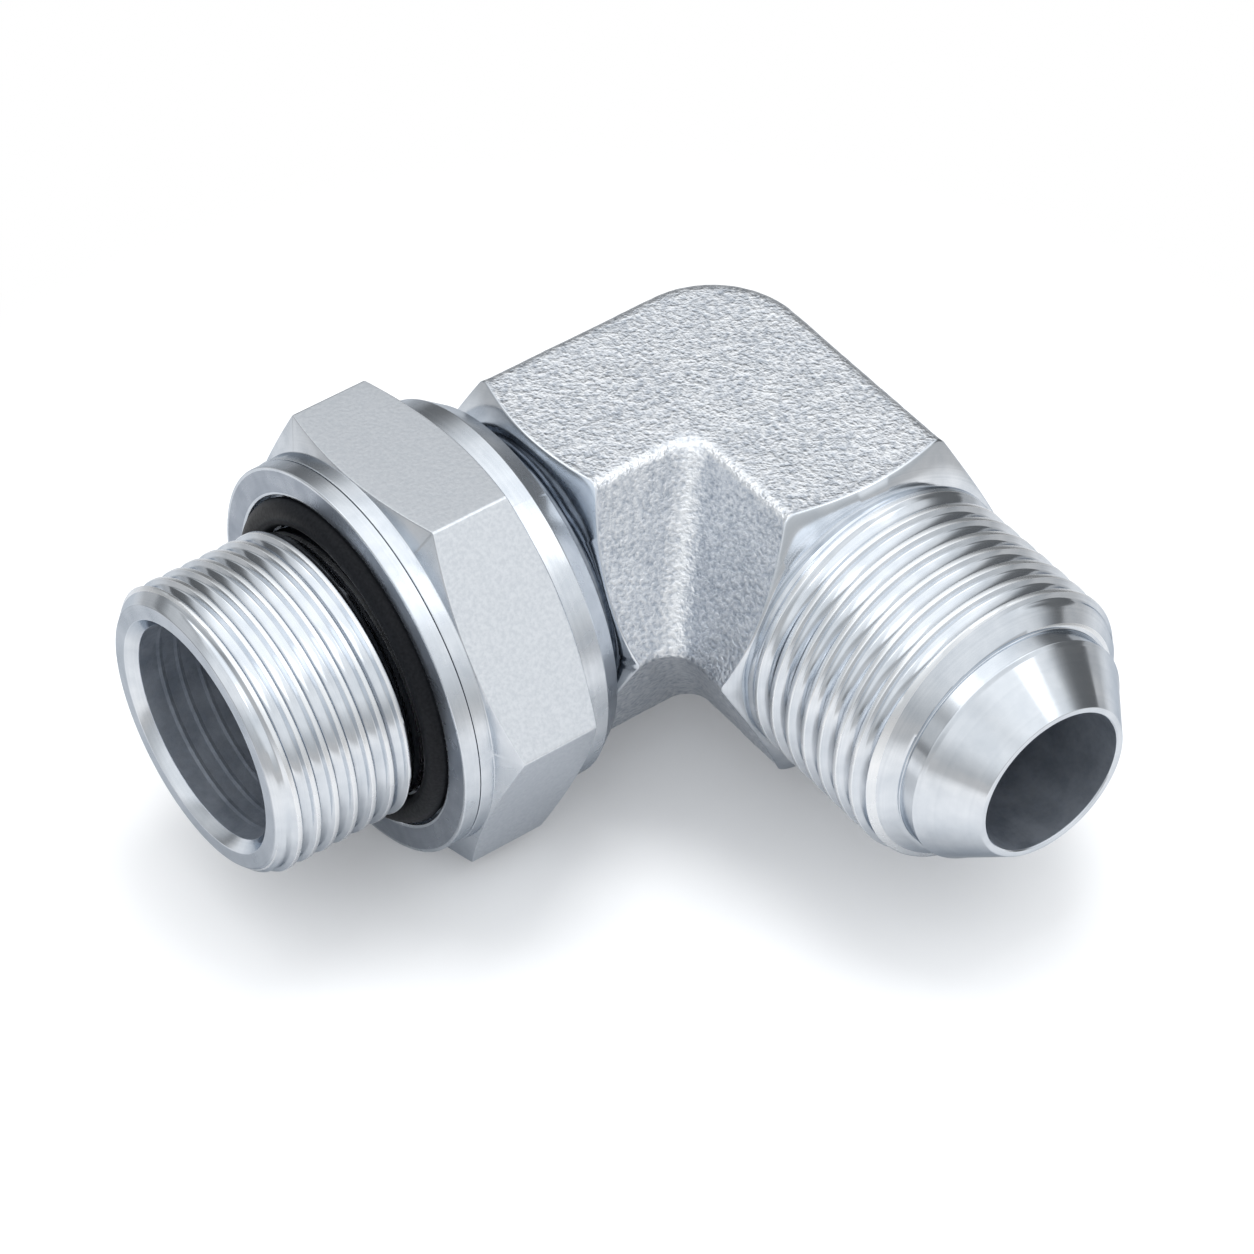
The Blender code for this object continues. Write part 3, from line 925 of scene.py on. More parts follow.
@dataclass(frozen=True)
class Elbow:
    """The one-piece body: blasted forging, drilled passage, threaded stud and flare end."""

    stud_reach: float = 53.6
    stud_radius: float = 13.22
    stud_shoulder: float = 20.4
    stud_bore: float = 9.8
    stud_mouth: float = 10.7
    stud_chamfer: float = 1.2
    undercut_radius: float = 12.32
    undercut_back: float = 35.35
    undercut_front: float = 40.05
    undercut_ramp: float = 0.9
    flare_reach: float = 46.2
    flare_radius: float = 13.49
    flare_shoulder: float = 22.6
    flare_bore: float = 6.9
    flare_rim: float = 0.6
    cone_angle: float = 37.0
    cone_length: float = 4.25
    neck_length: float = 2.0
    neck_step: float = 0.3
    thread_chamfer: float = 1.7
    half_height: float = 15.1
    flat_half_width: float = 8.1
    ridge_half_width: float = 15.4
    edge_round: float = 1.3
    ridge_round: float = 0.8
    heel_radius: float = 8.4
    crotch_radius: float = 2.4
    land: float = 0.2
    shoulder_angle: float = 30.0
    shoulder_break: float = 0.12
    break_share: float = 0.3
    drill_overrun: float = 0.5
    drill_point: float = 118.0
    thread_stop: float = 0.2
    face_round: float = 0.16
    mouth_round: float = 0.10
    mark_depths: tuple[float, ...] = (2.6, 4.3, 6.1, 7.8, 9.7, 11.4, 13.3)
    mark_width: float = 0.6
    mark_height: float = 0.035
    mark_round: float = 0.1
    neck_foot_round: float = 0.08
    neck_top_round: float = 0.10
    cone_base_round: float = 0.12
    cone_tip_round: float = 0.14
    rim_break: float = 0.12
    rim_round: float = 0.06
    columns: int = 160
    edge_steps: int = 5
    ridge_steps: int = 3
    true_rows: int = 3
    skin_step: float = 0.32
    wave_size: float = 3.4
    wave_height: float = 0.035
    pebble_size: float = 0.90
    pebble_height: float = 0.024
    grit_scale: float = 1.9
    grit_share: float = 0.5
    # Pale edges of the forging: edge wear together with a painted highlight; the crotch's pale streak is a
    # painted highlight.
    wear_glint_reach: float = 0.68
    wear_glint_fade: float = 0.40
    crotch_highlight: float = 0.85
    crotch_highlight_share: float = 0.045

    @property
    def stud_thread(self) -> Thread:
        """The stud's parallel thread, at the phase that the photograph shows."""
        return Thread(
            pitch=1.814,
            major_radius=self.stud_radius,
            crest_reach=41.156,
            crest_angle=35.4,
            depth=0.52,
            crest_half_flat=0.13,
            crest_round=0.11,
            root_round=0.22,
        )

    @property
    def flare_thread(self) -> Thread:
        """The flare end's thread, at the phase that the photograph shows."""
        return Thread(
            pitch=2.117,
            major_radius=self.flare_radius,
            crest_reach=25.74,
            crest_angle=143.4,
            depth=0.60,
            crest_half_flat=0.14,
            crest_round=0.12,
            root_round=0.26,
        )

    def corner_radius(self, width: np.ndarray) -> np.ndarray:
        """Return the bend radius of the line that runs at a width from the arms' axes.

        Args:
            width: Distance from the axis, positive on the side of the crotch.

        Returns:
            The radius of the quarter turn that joins the line's two straight runs.
        """
        share = np.clip((width + self.flat_half_width) / (2 * self.flat_half_width), 0, 1)
        radius = self.heel_radius + (self.crotch_radius - self.heel_radius) * share
        return radius + np.clip(-width - self.flat_half_width, 0, None)

    def section(self) -> np.ndarray:
        """Return the six-sided section, once round from the top flat.

        Returns:
            Widths and heights, in rows.
        """
        slope = math.atan2(self.half_height, self.ridge_half_width - self.flat_half_width)
        tangent = self.edge_round * math.tan(slope / 2)
        half_turn = math.pi / 2 - slope
        ridge_centre = self.ridge_half_width - self.ridge_round / math.cos(half_turn)
        edge_centre = (self.flat_half_width - tangent, self.half_height - self.edge_round)

        def arc(centre: tuple[float, float], radius: float, start: float, end: float, steps: int) -> Profile:
            """Return the points of an arc, both ends included."""
            angles = np.linspace(start, end, steps + 1)
            return [(centre[0] + radius * math.cos(a), centre[1] + radius * math.sin(a)) for a in angles]

        def run(start: tuple[float, float], end: tuple[float, float]) -> Profile:
            """Return the points strictly between two, about a skin step apart and odd in bands.

            Args:
                start: The point before them.
                end: The point after them.

            Returns:
                The points between.
            """
            bands = 2 * round(math.dist(start, end) / self.skin_step / 2) + 1
            shares = np.arange(1, bands) / bands
            return [(start[0] + (end[0] - start[0]) * t, start[1] + (end[1] - start[1]) * t) for t in shares]

        edge = arc(edge_centre, self.edge_round, math.pi / 2, math.pi / 2 - slope, self.edge_steps)
        ridge = arc((ridge_centre, 0.0), self.ridge_round, half_turn, -half_turn, self.ridge_steps)
        quarter = edge + run(edge[-1], ridge[0])
        right = quarter + ridge + [(width, -height) for width, height in reversed(quarter)]
        left = [(-width, -height) for width, height in right]
        points = right + run(right[-1], left[0]) + left + run(left[-1], right[0])
        return np.array(points)

    def end_reach(self, section: np.ndarray, shoulder: float, thread_radius: float) -> np.ndarray:
        """Return the reach at which the turned shoulder cuts each line of the forging.

        Args:
            section: Widths and heights of the forging's lines.
            shoulder: Reach of the shoulder's flat land.
            thread_radius: Radius of the thread in front of it.

        Returns:
            One reach for each line.
        """
        radius = np.linalg.norm(section, axis=1)
        past_land = np.clip(radius - thread_radius - self.land, 0, None)
        return shoulder - past_land * math.tan(math.radians(self.shoulder_angle))

    def forging_path(self, section: np.ndarray) -> np.ndarray:
        """Return the lines of the forging from the stud's shoulder to the flare end's.

        Args:
            section: Widths and heights of the lines.

        Returns:
            Points relative to the crossing, as rows along the lines and columns round the section.
        """
        width, height = section[:, 0], section[:, 1]
        radius = self.corner_radius(width)
        stud_end = self.end_reach(section, self.stud_shoulder, self.stud_radius) - self.shoulder_break
        flare_end = self.end_reach(section, self.flare_shoulder, self.flare_radius) - self.shoulder_break
        corner_start = width + radius
        straight_bands = round(self.stud_shoulder / self.skin_step)
        longest_bend = math.pi / 2 * (self.heel_radius + self.ridge_half_width - self.flat_half_width)
        bend_bands = round(longest_bend / self.skin_step)
        rows = []
        for share in np.linspace(0, 1, straight_bands + 1)[:-1]:
            reach = stud_end + (corner_start - stud_end) * share
            rows.append(np.stack([width, -reach, height], axis=-1))
        for angle in np.linspace(math.pi, math.pi / 2, bend_bands + 1):
            x = width + radius + radius * math.cos(angle)
            y = -width - radius + radius * math.sin(angle)
            rows.append(np.stack([x, y, height], axis=-1))
        for share in np.linspace(0, 1, straight_bands + 1)[1:]:
            reach = corner_start + (flare_end - corner_start) * share
            rows.append(np.stack([reach, -width, height], axis=-1))
        return np.array(rows)

    def weathered(self, grid: np.ndarray) -> np.ndarray:
        """Push a lattice in and out along its normals, as a blasted forging's skin is.

        Args:
            grid: The smooth forging, as rows, columns and coordinates.

        Returns:
            The uneven forging, true to size at its first and last rows.
        """
        along = np.gradient(grid, axis=0)
        around = np.roll(grid, -1, axis=1) - np.roll(grid, 1, axis=1)
        normal = np.cross(around, along)
        normal /= np.linalg.norm(normal, axis=-1, keepdims=True)
        rows = grid.shape[0]
        edge = np.minimum(np.arange(rows), np.arange(rows)[::-1])
        fade = np.clip(edge / self.true_rows, 0, 1)[:, None]
        depth = np.zeros(grid.shape[:2])
        for row in range(rows):
            for column in range(grid.shape[1]):
                spot = Vector(grid[row, column])
                wave = noise.noise(spot / self.wave_size)
                grit = noise.noise(spot * self.grit_scale / self.pebble_size)
                pebble = noise.noise(spot / self.pebble_size) + self.grit_share * grit
                depth[row, column] = self.wave_height * wave + self.pebble_height * pebble
        middle = rows // 2
        outward = np.sum(normal[middle, :, 2] * grid[middle, :, 2])
        facing = 1.0 if outward >= 0 else -1.0
        return grid + normal * (facing * (depth - self.wave_height - self.pebble_height) * fade)[..., None]

    def edge_wear_and_highlight(self, section: np.ndarray, rows: int) -> np.ndarray:
        """Return how pale each point of the forging is painted, from 0 to 1: edge wear with a painted
        highlight.

        Args:
            section: Widths and heights of the forging's lines.
            rows: Number of rows along the forging.

        Returns:
            The paling, as rows and columns: full on the long edges, where it is edge wear with a painted
                highlight, and part of it in the crotch, where it is a painted highlight.
        """
        across = np.abs(section[:, 0]) - self.flat_half_width
        above = np.abs(section[:, 1]) - self.half_height
        edge_wear_and_glint = np.clip((self.wear_glint_reach - np.hypot(across, above)) / self.wear_glint_fade, 0, 1)
        from_corner = np.abs(np.arange(rows) - (rows - 1) / 2) / rows
        in_corner = np.exp(-((from_corner / self.crotch_highlight_share) ** 2))
        painted_crotch_highlight = self.crotch_highlight * in_corner[:, None] * (section[:, 0] > self.flat_half_width)[None, :]
        return np.maximum(edge_wear_and_glint[None, :], painted_crotch_highlight)

    def shoulder_rows(
        self,
        axis: Axis,
        section: np.ndarray,
        shoulder: float,
        thread_radius: float,
        bore: float,
        mirrored: bool,
    ) -> np.ndarray:
        """Return the rows of a turned shoulder, from the forging's end in to the bore.

        Args:
            axis: The arm's axis.
            section: Widths and heights of the forging's lines.
            shoulder: Reach of the shoulder's flat land.
            thread_radius: Radius of the thread in front of it.
            bore: Radius of the arm's bore.
            mirrored: Whether widths run against the axis's side direction.

        Returns:
            Rows that each hold one point for each line of the forging.
        """
        radius = np.linalg.norm(section, axis=1)
        width = -section[:, 0] if mirrored else section[:, 0]
        angle = np.arctan2(section[:, 1], width)
        reach = self.end_reach(section, shoulder, thread_radius)
        land_radius = thread_radius + self.land
        slope = math.tan(math.radians(self.shoulder_angle))
        broken = np.maximum(radius - self.shoulder_break, land_radius)
        broken_reach = shoulder - (broken - land_radius) * slope
        corner = self.shoulder_break * self.break_share
        flat = np.full_like(radius, shoulder)
        return np.array([
            axis.place(reach - corner, radius - corner, angle),
            axis.place(broken_reach, broken, angle),
            axis.place(flat, np.full_like(radius, land_radius), angle),
            axis.place(flat, np.full_like(radius, bore), angle),
        ])

    def bore_tool(
        self, name: str, axis: Axis, radius: float, reach: float, angles: np.ndarray
    ) -> bpy.types.Object:
        """Return the closed solid that a drill leaves between its point and a reach.

        Args:
            name: Name of the solid.
            axis: The arm's axis.
            radius: Radius of the drill.
            reach: Where the solid ends.
            angles: Angles of its columns, in radians.

        Returns:
            The solid, without any shading.
        """
        point = radius / math.tan(math.radians(self.drill_point / 2))
        tip = -self.drill_overrun - point
        profile = [(tip, 0.0), (-self.drill_overrun, radius), (reach, radius), (reach, 0.0)]
        skin = Skin(name)
        skin.add_lattice(turned_lattice(axis, profile, angles))
        tool = skin.build([], 30)
        tool.modifiers.clear()
        return tool

    def passage_mesh(self, stud: Axis, flare: Axis, section: np.ndarray) -> bpy.types.Mesh:
        """Join the two drilled bores and open them at the shoulders.

        Args:
            stud: The stud's axis.
            flare: The flare end's axis.
            section: Widths and heights of the forging's lines, which set the columns.

        Returns:
            The passage's wall as a mesh in metres.
        """
        stud_angles = np.arctan2(section[:, 1], section[:, 0])
        flare_angles = np.arctan2(section[:, 1], -section[:, 0])
        main = self.bore_tool("stud drill", stud, self.stud_bore, self.stud_shoulder, stud_angles)
        cross = self.bore_tool("flare drill", flare, self.flare_bore, self.flare_shoulder, flare_angles)
        joining = main.modifiers.new("join", "BOOLEAN")
        joining.operation = "UNION"
        joining.solver = "EXACT"
        joining.object = cross
        evaluated = main.evaluated_get(bpy.context.evaluated_depsgraph_get())
        mesh = bpy.data.meshes.new_from_object(evaluated)
        for tool in (main, cross):
            bpy.data.objects.remove(tool, do_unlink=True)
        bm = bmesh.new()
        bm.from_mesh(mesh)
        stud_end = stud.origin[1] - self.stud_shoulder
        flare_end = flare.origin[0] + self.flare_shoulder
        closing = []
        for face in bm.faces:
            ys = [vert.co.y / MM - stud_end for vert in face.verts]
            xs = [vert.co.x / MM - flare_end for vert in face.verts]
            if max(map(abs, ys)) < WELD_DISTANCE or max(map(abs, xs)) < WELD_DISTANCE:
                closing.append(face)
        bmesh.ops.delete(bm, geom=closing, context="FACES")
        bm.to_mesh(mesh)
        bm.free()
        return mesh

    def build_forging(self, stud: Axis, flare: Axis, finishes: Finishes) -> bpy.types.Object:
        """Build the blasted forging with its turned shoulders and drilled passage.

        Args:
            stud: The stud's axis.
            flare: The flare end's axis.
            finishes: The adapter's finishes.

        Returns:
            The forging.
        """
        section = self.section()
        grid = self.weathered(self.forging_path(section)) + stud.origin
        stud_sizes = (self.stud_shoulder, self.stud_radius, self.stud_bore)
        flare_sizes = (self.flare_shoulder, self.flare_radius, self.flare_bore)
        stud_cap = self.shoulder_rows(stud, section, *stud_sizes, mirrored=False)
        flare_cap = self.shoulder_rows(flare, section, *flare_sizes, mirrored=True)
        whole = np.concatenate([stud_cap[::-1], grid, flare_cap])
        blasted, stud_turned, flare_turned, drilled = range(4)
        bands = [stud_turned] * len(stud_cap) + [blasted] * (len(grid) - 1)
        bands += [flare_turned] * (len(flare_cap) + 1)
        skin = Skin("forging")
        skin.add_lattice(whole, bands)
        passage = self.passage_mesh(stud, flare, section)
        mesh = skin.mesh()
        # Pale edges: edge wear with a painted highlight, and a painted highlight in the crotch.
        wear_and_glint = np.zeros(whole.shape[:2])
        wear_and_glint[len(stud_cap) : len(stud_cap) + len(grid)] = self.edge_wear_and_highlight(section, len(grid))
        wear_and_highlight = mesh.attributes.new("wear_and_highlight", "FLOAT", "POINT")
        wear_and_highlight.data.foreach_set("value", wear_and_glint.reshape(-1).astype(np.float32))
        weld(mesh, passage, drilled)
        materials = [finishes.blasted, finishes.stud_turned, finishes.flare_turned, finishes.drilled]
        return dress_mesh(mesh, materials, 35.0)

    def build_stud(self, axis: Axis, finishes: Finishes) -> bpy.types.Object:
        """Build the adjustable stud: thread, undercut, end face, mouth and bore wall.

        Args:
            axis: The stud's axis.
            finishes: The adapter's finishes.

        Returns:
            The stud.
        """
        thread = self.stud_thread
        middle = (self.undercut_back + self.undercut_front) / 2
        face_radius = self.stud_radius - self.stud_chamfer
        blank = [
            (self.stud_shoulder, self.stud_radius),
            (self.undercut_back - self.undercut_ramp, self.stud_radius),
            (self.undercut_back, self.undercut_radius),
            (self.undercut_front, self.undercut_radius),
            (self.undercut_front + self.undercut_ramp, self.stud_radius),
            (self.stud_reach - self.stud_chamfer, self.stud_radius),
            (self.stud_reach, face_radius),
        ]
        turned, drilled, painted_shade, faced, crest = range(5)
        skin = Skin("stud")
        # The thread behind the nut takes the darker finish, painted shade in the gap.
        back_thread = thread.lattice(axis, self.stud_shoulder, middle, blank, self.columns, thread.pitch)
        skin.add_lattice(back_thread, painted_shade, wrap_columns=False)
        front_end = self.stud_reach - self.thread_stop
        front_thread = thread.lattice(axis, middle, front_end, blank, self.columns)
        # Crests of the front thread take the paler finish, a painted highlight.
        skin.add_lattice(front_thread, thread.bands(middle, front_end, turned, crest), wrap_columns=False)
        mouth_depth = self.stud_mouth - self.stud_bore
        turns = [
            Turn(front_end, face_radius + self.thread_stop, finish=turned),
            Turn(self.stud_reach, face_radius, self.face_round, faced),
            Turn(self.stud_reach, self.stud_mouth, self.mouth_round, turned),
            Turn(self.stud_reach - mouth_depth, self.stud_bore, self.mouth_round, drilled),
        ]
        turns += self.tool_marks(drilled)
        turns.append(Turn(self.stud_shoulder, self.stud_bore, finish=turned))
        turns.append(Turn(self.stud_shoulder, self.stud_radius, finish=turned))
        points, bands = round_profile(turns, closed=False)
        skin.add_lattice(turned_lattice(axis, points, thread.angles(self.columns)), bands)
        materials = [finishes.stud_turned, finishes.drilled, finishes.stud_painted_shade]
        materials += [finishes.stud_faced, finishes.stud_crest_highlight]
        return skin.build(materials, 38.0)

    def tool_marks(self, finish: int) -> list[Turn]:
        """Return the faint steps that the boring bar left behind the stud's mouth.

        Args:
            finish: Index of the finish on the bore.

        Returns:
            The marks' corners, from the mouth inwards.
        """
        marks = []
        for depth in self.mark_depths:
            for inward, height in ((0, 0), (self.mark_width / 2, self.mark_height), (self.mark_width, 0)):
                reach = self.stud_reach - depth - inward
                marks.append(Turn(reach, self.stud_bore - height, self.mark_round, finish))
        return marks

    def build_flare_end(self, axis: Axis, finishes: Finishes) -> bpy.types.Object:
        """Build the flare end: thread, neck, sealing cone, thin rim and bore wall.

        Args:
            axis: The flare end's axis.
            finishes: The adapter's finishes.

        Returns:
            The flare end.
        """
        thread = self.flare_thread
        rim_radius = self.flare_bore + self.flare_rim
        cone_base = rim_radius + self.cone_length * math.tan(math.radians(self.cone_angle))
        cone_reach = self.flare_reach - self.cone_length
        neck_radius = cone_base + self.neck_step
        neck_reach = cone_reach - self.neck_length
        chamfer_foot = neck_radius + self.neck_step
        blank = [
            (self.flare_shoulder, self.flare_radius),
            (neck_reach - self.thread_chamfer, self.flare_radius),
            (neck_reach, chamfer_foot),
        ]
        turned, drilled, crest = range(3)
        skin = Skin("flare_end")
        wound = thread.lattice(axis, self.flare_shoulder, neck_reach, blank, self.columns, thread.pitch)
        # Crests take the paler finish, a painted highlight.
        bands = thread.bands(self.flare_shoulder, neck_reach, turned, crest)
        skin.add_lattice(wound, bands, wrap_columns=False)
        turns = [
            Turn(neck_reach, chamfer_foot, finish=turned),
            Turn(neck_reach, neck_radius, self.neck_foot_round, turned),
            Turn(cone_reach - self.neck_step, neck_radius, self.neck_top_round, turned),
            Turn(cone_reach, cone_base, self.cone_base_round, turned),
            Turn(self.flare_reach, rim_radius, self.cone_tip_round, turned),
            Turn(self.flare_reach, self.flare_bore + self.rim_break, self.rim_round, turned),
            Turn(self.flare_reach - self.rim_break, self.flare_bore, self.rim_round, drilled),
            Turn(self.flare_shoulder, self.flare_bore, finish=turned),
            Turn(self.flare_shoulder, self.flare_radius, finish=turned),
        ]
        points, bands = round_profile(turns, closed=False)
        skin.add_lattice(turned_lattice(axis, points, thread.angles(self.columns)), bands)
        return skin.build([finishes.flare_turned, finishes.drilled, finishes.flare_crest_highlight], 38.0)

    def build(self, stud: Axis, flare: Axis, finishes: Finishes) -> None:
        """Build the body's three pieces and hand them over.

        Args:
            stud: The stud's axis.
            flare: The flare end's axis.
            finishes: The adapter's finishes.
        """
        for piece in (
            self.build_forging(stud, flare, finishes),
            self.build_stud(stud, finishes),
            self.build_flare_end(flare, finishes),
        ):
            hand_over(piece, Body.ELBOW, Slot.FORGED, "elbow_body")


# The lock nut, the ring and the O-ring


@dataclass(frozen=True)
class LockNut:
    """The hexagon lock nut, with a round collar at each end."""

    flats: float = 36.0
    front: float = 37.15
    length: float = 15.0
    front_collar: float = 1.3
    back_collar: float = 4.0
    back_taper: float = 1.9
    collar_step: float = 0.1
    back_step: float = 0.4
    back_drop: float = 1.3
    chamfer_angle: float = 22.0
    edge_break: float = 0.10
    collar_round: float = 0.10
    back_round: float = 0.25
    bore: float = 13.42
    bore_chamfer: float = 0.8
    bore_round: float = 0.05
    mouth_round: float = 0.08
    turn: float = 6.1
    corner_round: float = 0.30
    arc_break: float = 0.14
    arc_share: float = 0.18
    flat_bands: int = 26
    corner_bands: int = 5

    def columns(self) -> tuple[np.ndarray, np.ndarray]:
        """Return the column angles and the rounded hexagon's radius at each.

        Returns:
            Angles in radians and radii in millimetres, once round from a corner.
        """
        half = self.flats / 2
        centre = (half - self.corner_round) / math.cos(math.pi / 6)
        foot = math.atan2(centre * math.sin(math.pi / 6), half)
        reach_of_round = math.pi / 6 - foot
        angles: list[float] = []
        radii: list[float] = []
        for index in range(6):
            corner = math.radians(self.turn) + index * math.pi / 3
            for offset in np.linspace(-reach_of_round, reach_of_round, self.corner_bands + 1):
                across = centre * math.sin(offset)
                angles.append(corner + offset)
                radii.append(centre * math.cos(offset) + math.sqrt(self.corner_round**2 - across**2))
            flat_centre = corner + math.pi / 6
            for lateral in np.linspace(-math.tan(foot), math.tan(foot), self.flat_bands + 1)[1:-1]:
                angle = math.atan(lateral)
                angles.append(flat_centre + angle)
                radii.append(half / math.cos(angle))
        return np.array(angles), np.array(radii)

    def build(self, axis: Axis, finishes: Finishes) -> None:
        """Build the nut as one closed skin, with a soft break on every edge.

        Args:
            axis: The stud's axis.
            finishes: The adapter's finishes.
        """
        angles, hexagon = self.columns()
        ones = np.ones_like(hexagon)
        slope = math.tan(math.radians(self.chamfer_angle))
        back = self.front - self.length
        front_radius = self.flats / 2 - self.collar_step
        back_radius = self.flats / 2 - self.back_step
        front_edge = self.front - self.front_collar
        back_edge = back + self.back_collar
        front_arc = front_edge - (hexagon - front_radius) * slope
        back_arc = back_edge + (hexagon - back_radius) * slope
        turned, satin = 0, 1
        rows: list[np.ndarray] = []
        bands: list[int] = []

        def add(reach: np.ndarray | float, radius: np.ndarray | float, finish: int) -> None:
            """Add one row of the skin and the finish of the band after it."""
            rows.append(axis.place(reach * ones, radius * ones, angles))
            bands.append(finish)

        front_turns = [
            Turn(self.front - self.bore_chamfer, self.bore, self.bore_round),
            Turn(self.front, self.bore + self.bore_chamfer, self.mouth_round),
            Turn(self.front, front_radius, self.edge_break),
            Turn(front_edge, front_radius, self.collar_round),
            Turn(front_edge - slope, front_radius + 1),
        ]
        points, _ = round_profile(front_turns, closed=False)
        for reach, radius in points[:-1]:
            add(reach, radius, turned)
        cut = self.arc_break
        part = cut * self.arc_share
        add(front_arc + cut * slope, np.maximum(hexagon - cut, front_radius), turned)
        add(front_arc - part, hexagon - part, satin)
        add(front_arc - cut, hexagon, satin)
        for share in (0.25, 0.5, 0.75):
            add(front_arc + (back_arc - front_arc) * share, hexagon, satin)
        add(back_arc + cut, hexagon, satin)
        add(back_arc + part, hexagon - part, turned)
        add(back_arc - cut * slope, np.maximum(hexagon - cut, back_radius), turned)
        back_turns = [
            Turn(back_edge + slope, back_radius + 1),
            Turn(back_edge, back_radius, self.collar_round),
            Turn(back + self.back_taper, back_radius, self.back_round),
            Turn(back, back_radius - self.back_drop, self.back_round),
            Turn(back, self.bore + self.bore_chamfer, self.mouth_round),
            Turn(back + self.bore_chamfer, self.bore, self.bore_round),
        ]
        points, _ = round_profile(back_turns, closed=False)
        for reach, radius in points[1:]:
            add(reach, radius, turned)
        skin = Skin("nut")
        skin.add_lattice(np.array(rows), bands, wrap_rows=True)
        piece = skin.build([finishes.nut_turned, finishes.satin], 30.0)
        hand_over(piece, Body.NUT, Slot.NUT, "lock_nut")


@dataclass(frozen=True)
class RetainingRing:
    """The flat ring in front of the nut."""

    front: float = 38.7
    thickness: float = 1.51
    inner_radius: float = 15.22
    outer_radius: float = 17.82
    inner_round: float = 0.18
    back_inner_round: float = 0.10
    back_outer_round: float = 0.06
    outer_round: float = 0.22
    face_inset: float = 0.30
    round_steps: int = 4
    columns: int = 160

    def build(self, axis: Axis, finishes: Finishes) -> None:
        """Build the ring as one turned skin.

        Args:
            axis: The stud's axis.
            finishes: The adapter's finishes.
        """
        back = self.front - self.thickness
        rim, face = 0, 1
        turns = [
            Turn(self.front, self.inner_radius, self.inner_round, rim),
            Turn(back, self.inner_radius, self.back_inner_round, rim),
            Turn(back, self.outer_radius, self.back_outer_round, rim),
            Turn(self.front, self.outer_radius, self.outer_round, rim),
            Turn(self.front, self.outer_radius - self.face_inset, 0.0, face),
            Turn(self.front, self.inner_radius + self.face_inset, 0.0, rim),
        ]
        points, bands = round_profile(turns, closed=True, steps=self.round_steps)
        skin = Skin("ring")
        skin.add_lattice(turned_lattice(axis, points, circle_angles(self.columns)), bands, wrap_rows=True)
        piece = skin.build([finishes.nut_turned, finishes.ring_face], 45.0)
        hand_over(piece, Body.RING_SET, Slot.RING, "retaining_ring")


@dataclass(frozen=True)
class ORing:
    """The rubber ring in the stud's undercut."""

    reach: float = 38.6
    radius: float = 13.77
    cord: float = 2.4
    flash: float = 0.03
    cord_bands: int = 32
    columns: int = 144

    def build(self, axis: Axis, finishes: Finishes) -> None:
        """Build the ring, with its mould's faint flash line round the inside and outside.

        Args:
            axis: The stud's axis.
            finishes: The adapter's finishes.
        """
        points: Profile = []
        for angle in circle_angles(self.cord_bands):
            on_flash = abs(math.cos(angle)) < 1e-6
            cord = self.cord / 2 + (self.flash if on_flash else 0.0)
            points.append((self.reach + cord * math.cos(angle), self.radius + cord * math.sin(angle)))
        skin = Skin("seal")
        skin.add_lattice(turned_lattice(axis, points, circle_angles(self.columns)), wrap_rows=True)
        hand_over(skin.build([finishes.rubber], 60.0), Body.RING_SET, Slot.SEAL, "o_ring")


# The studio


@dataclass(frozen=True)
class Viewpoint:
    """The photograph's camera, fitted to the object's edges and threads.

    Attributes:
        azimuth: Turn about the vertical, in degrees.
        elevation: Angle above the horizon, in degrees.
        roll: Turn about the line of sight, in degrees.
        offset_right: Move to the camera's right from the crossing, in millimetres.
        offset_up: Move upwards in the camera's frame, in millimetres.
        distance: Distance back from the crossing, in millimetres.
        focal_pixels: Focal length in pixels of the photograph.
        frame_pixels: Side of the photograph in pixels.
        sensor_width: Width of the sensor, in millimetres.
        near: Distance at which the view starts, in metres.
        far: Distance at which it ends, in metres.
    """

    azimuth: float = 54.013
    elevation: float = 44.719
    roll: float = -0.434
    offset_right: float = -7.537
    offset_up: float = -13.304
    distance: float = 443.41
    focal_pixels: float = 5097.9
    frame_pixels: float = 1254.0
    sensor_width: float = 36.0
    near: float = 0.01
    far: float = 20.0

    def build(self, crossing: Vector) -> None:
        """Place the camera relative to the arms' crossing and make it the scene's.

        Args:
            crossing: Where the arms' axes cross, in metres.
        """
        azimuth = math.radians(self.azimuth)
        elevation = math.radians(self.elevation)
        roll = math.radians(self.roll)
        back = Vector((
            math.sin(azimuth) * math.cos(elevation),
            -math.cos(azimuth) * math.cos(elevation),
            math.sin(elevation),
        ))
        level = Vector((math.cos(azimuth), math.sin(azimuth), 0))
        upright = back.cross(level)
        place = level * self.offset_right + upright * self.offset_up + back * self.distance
        right = math.cos(roll) * level + math.sin(roll) * upright
        up = math.cos(roll) * upright - math.sin(roll) * level
        data = bpy.data.cameras.new("viewpoint")
        data.sensor_width = self.sensor_width
        data.lens = self.focal_pixels / self.frame_pixels * self.sensor_width
        data.clip_start = self.near
        data.clip_end = self.far
        camera = bpy.data.objects.new("viewpoint", data)
        facing = Matrix((right, up, back)).transposed().to_4x4()
        camera.matrix_world = Matrix.Translation(crossing + place * MM) @ facing
        bpy.context.scene.collection.objects.link(camera)
        bpy.context.scene.camera = camera


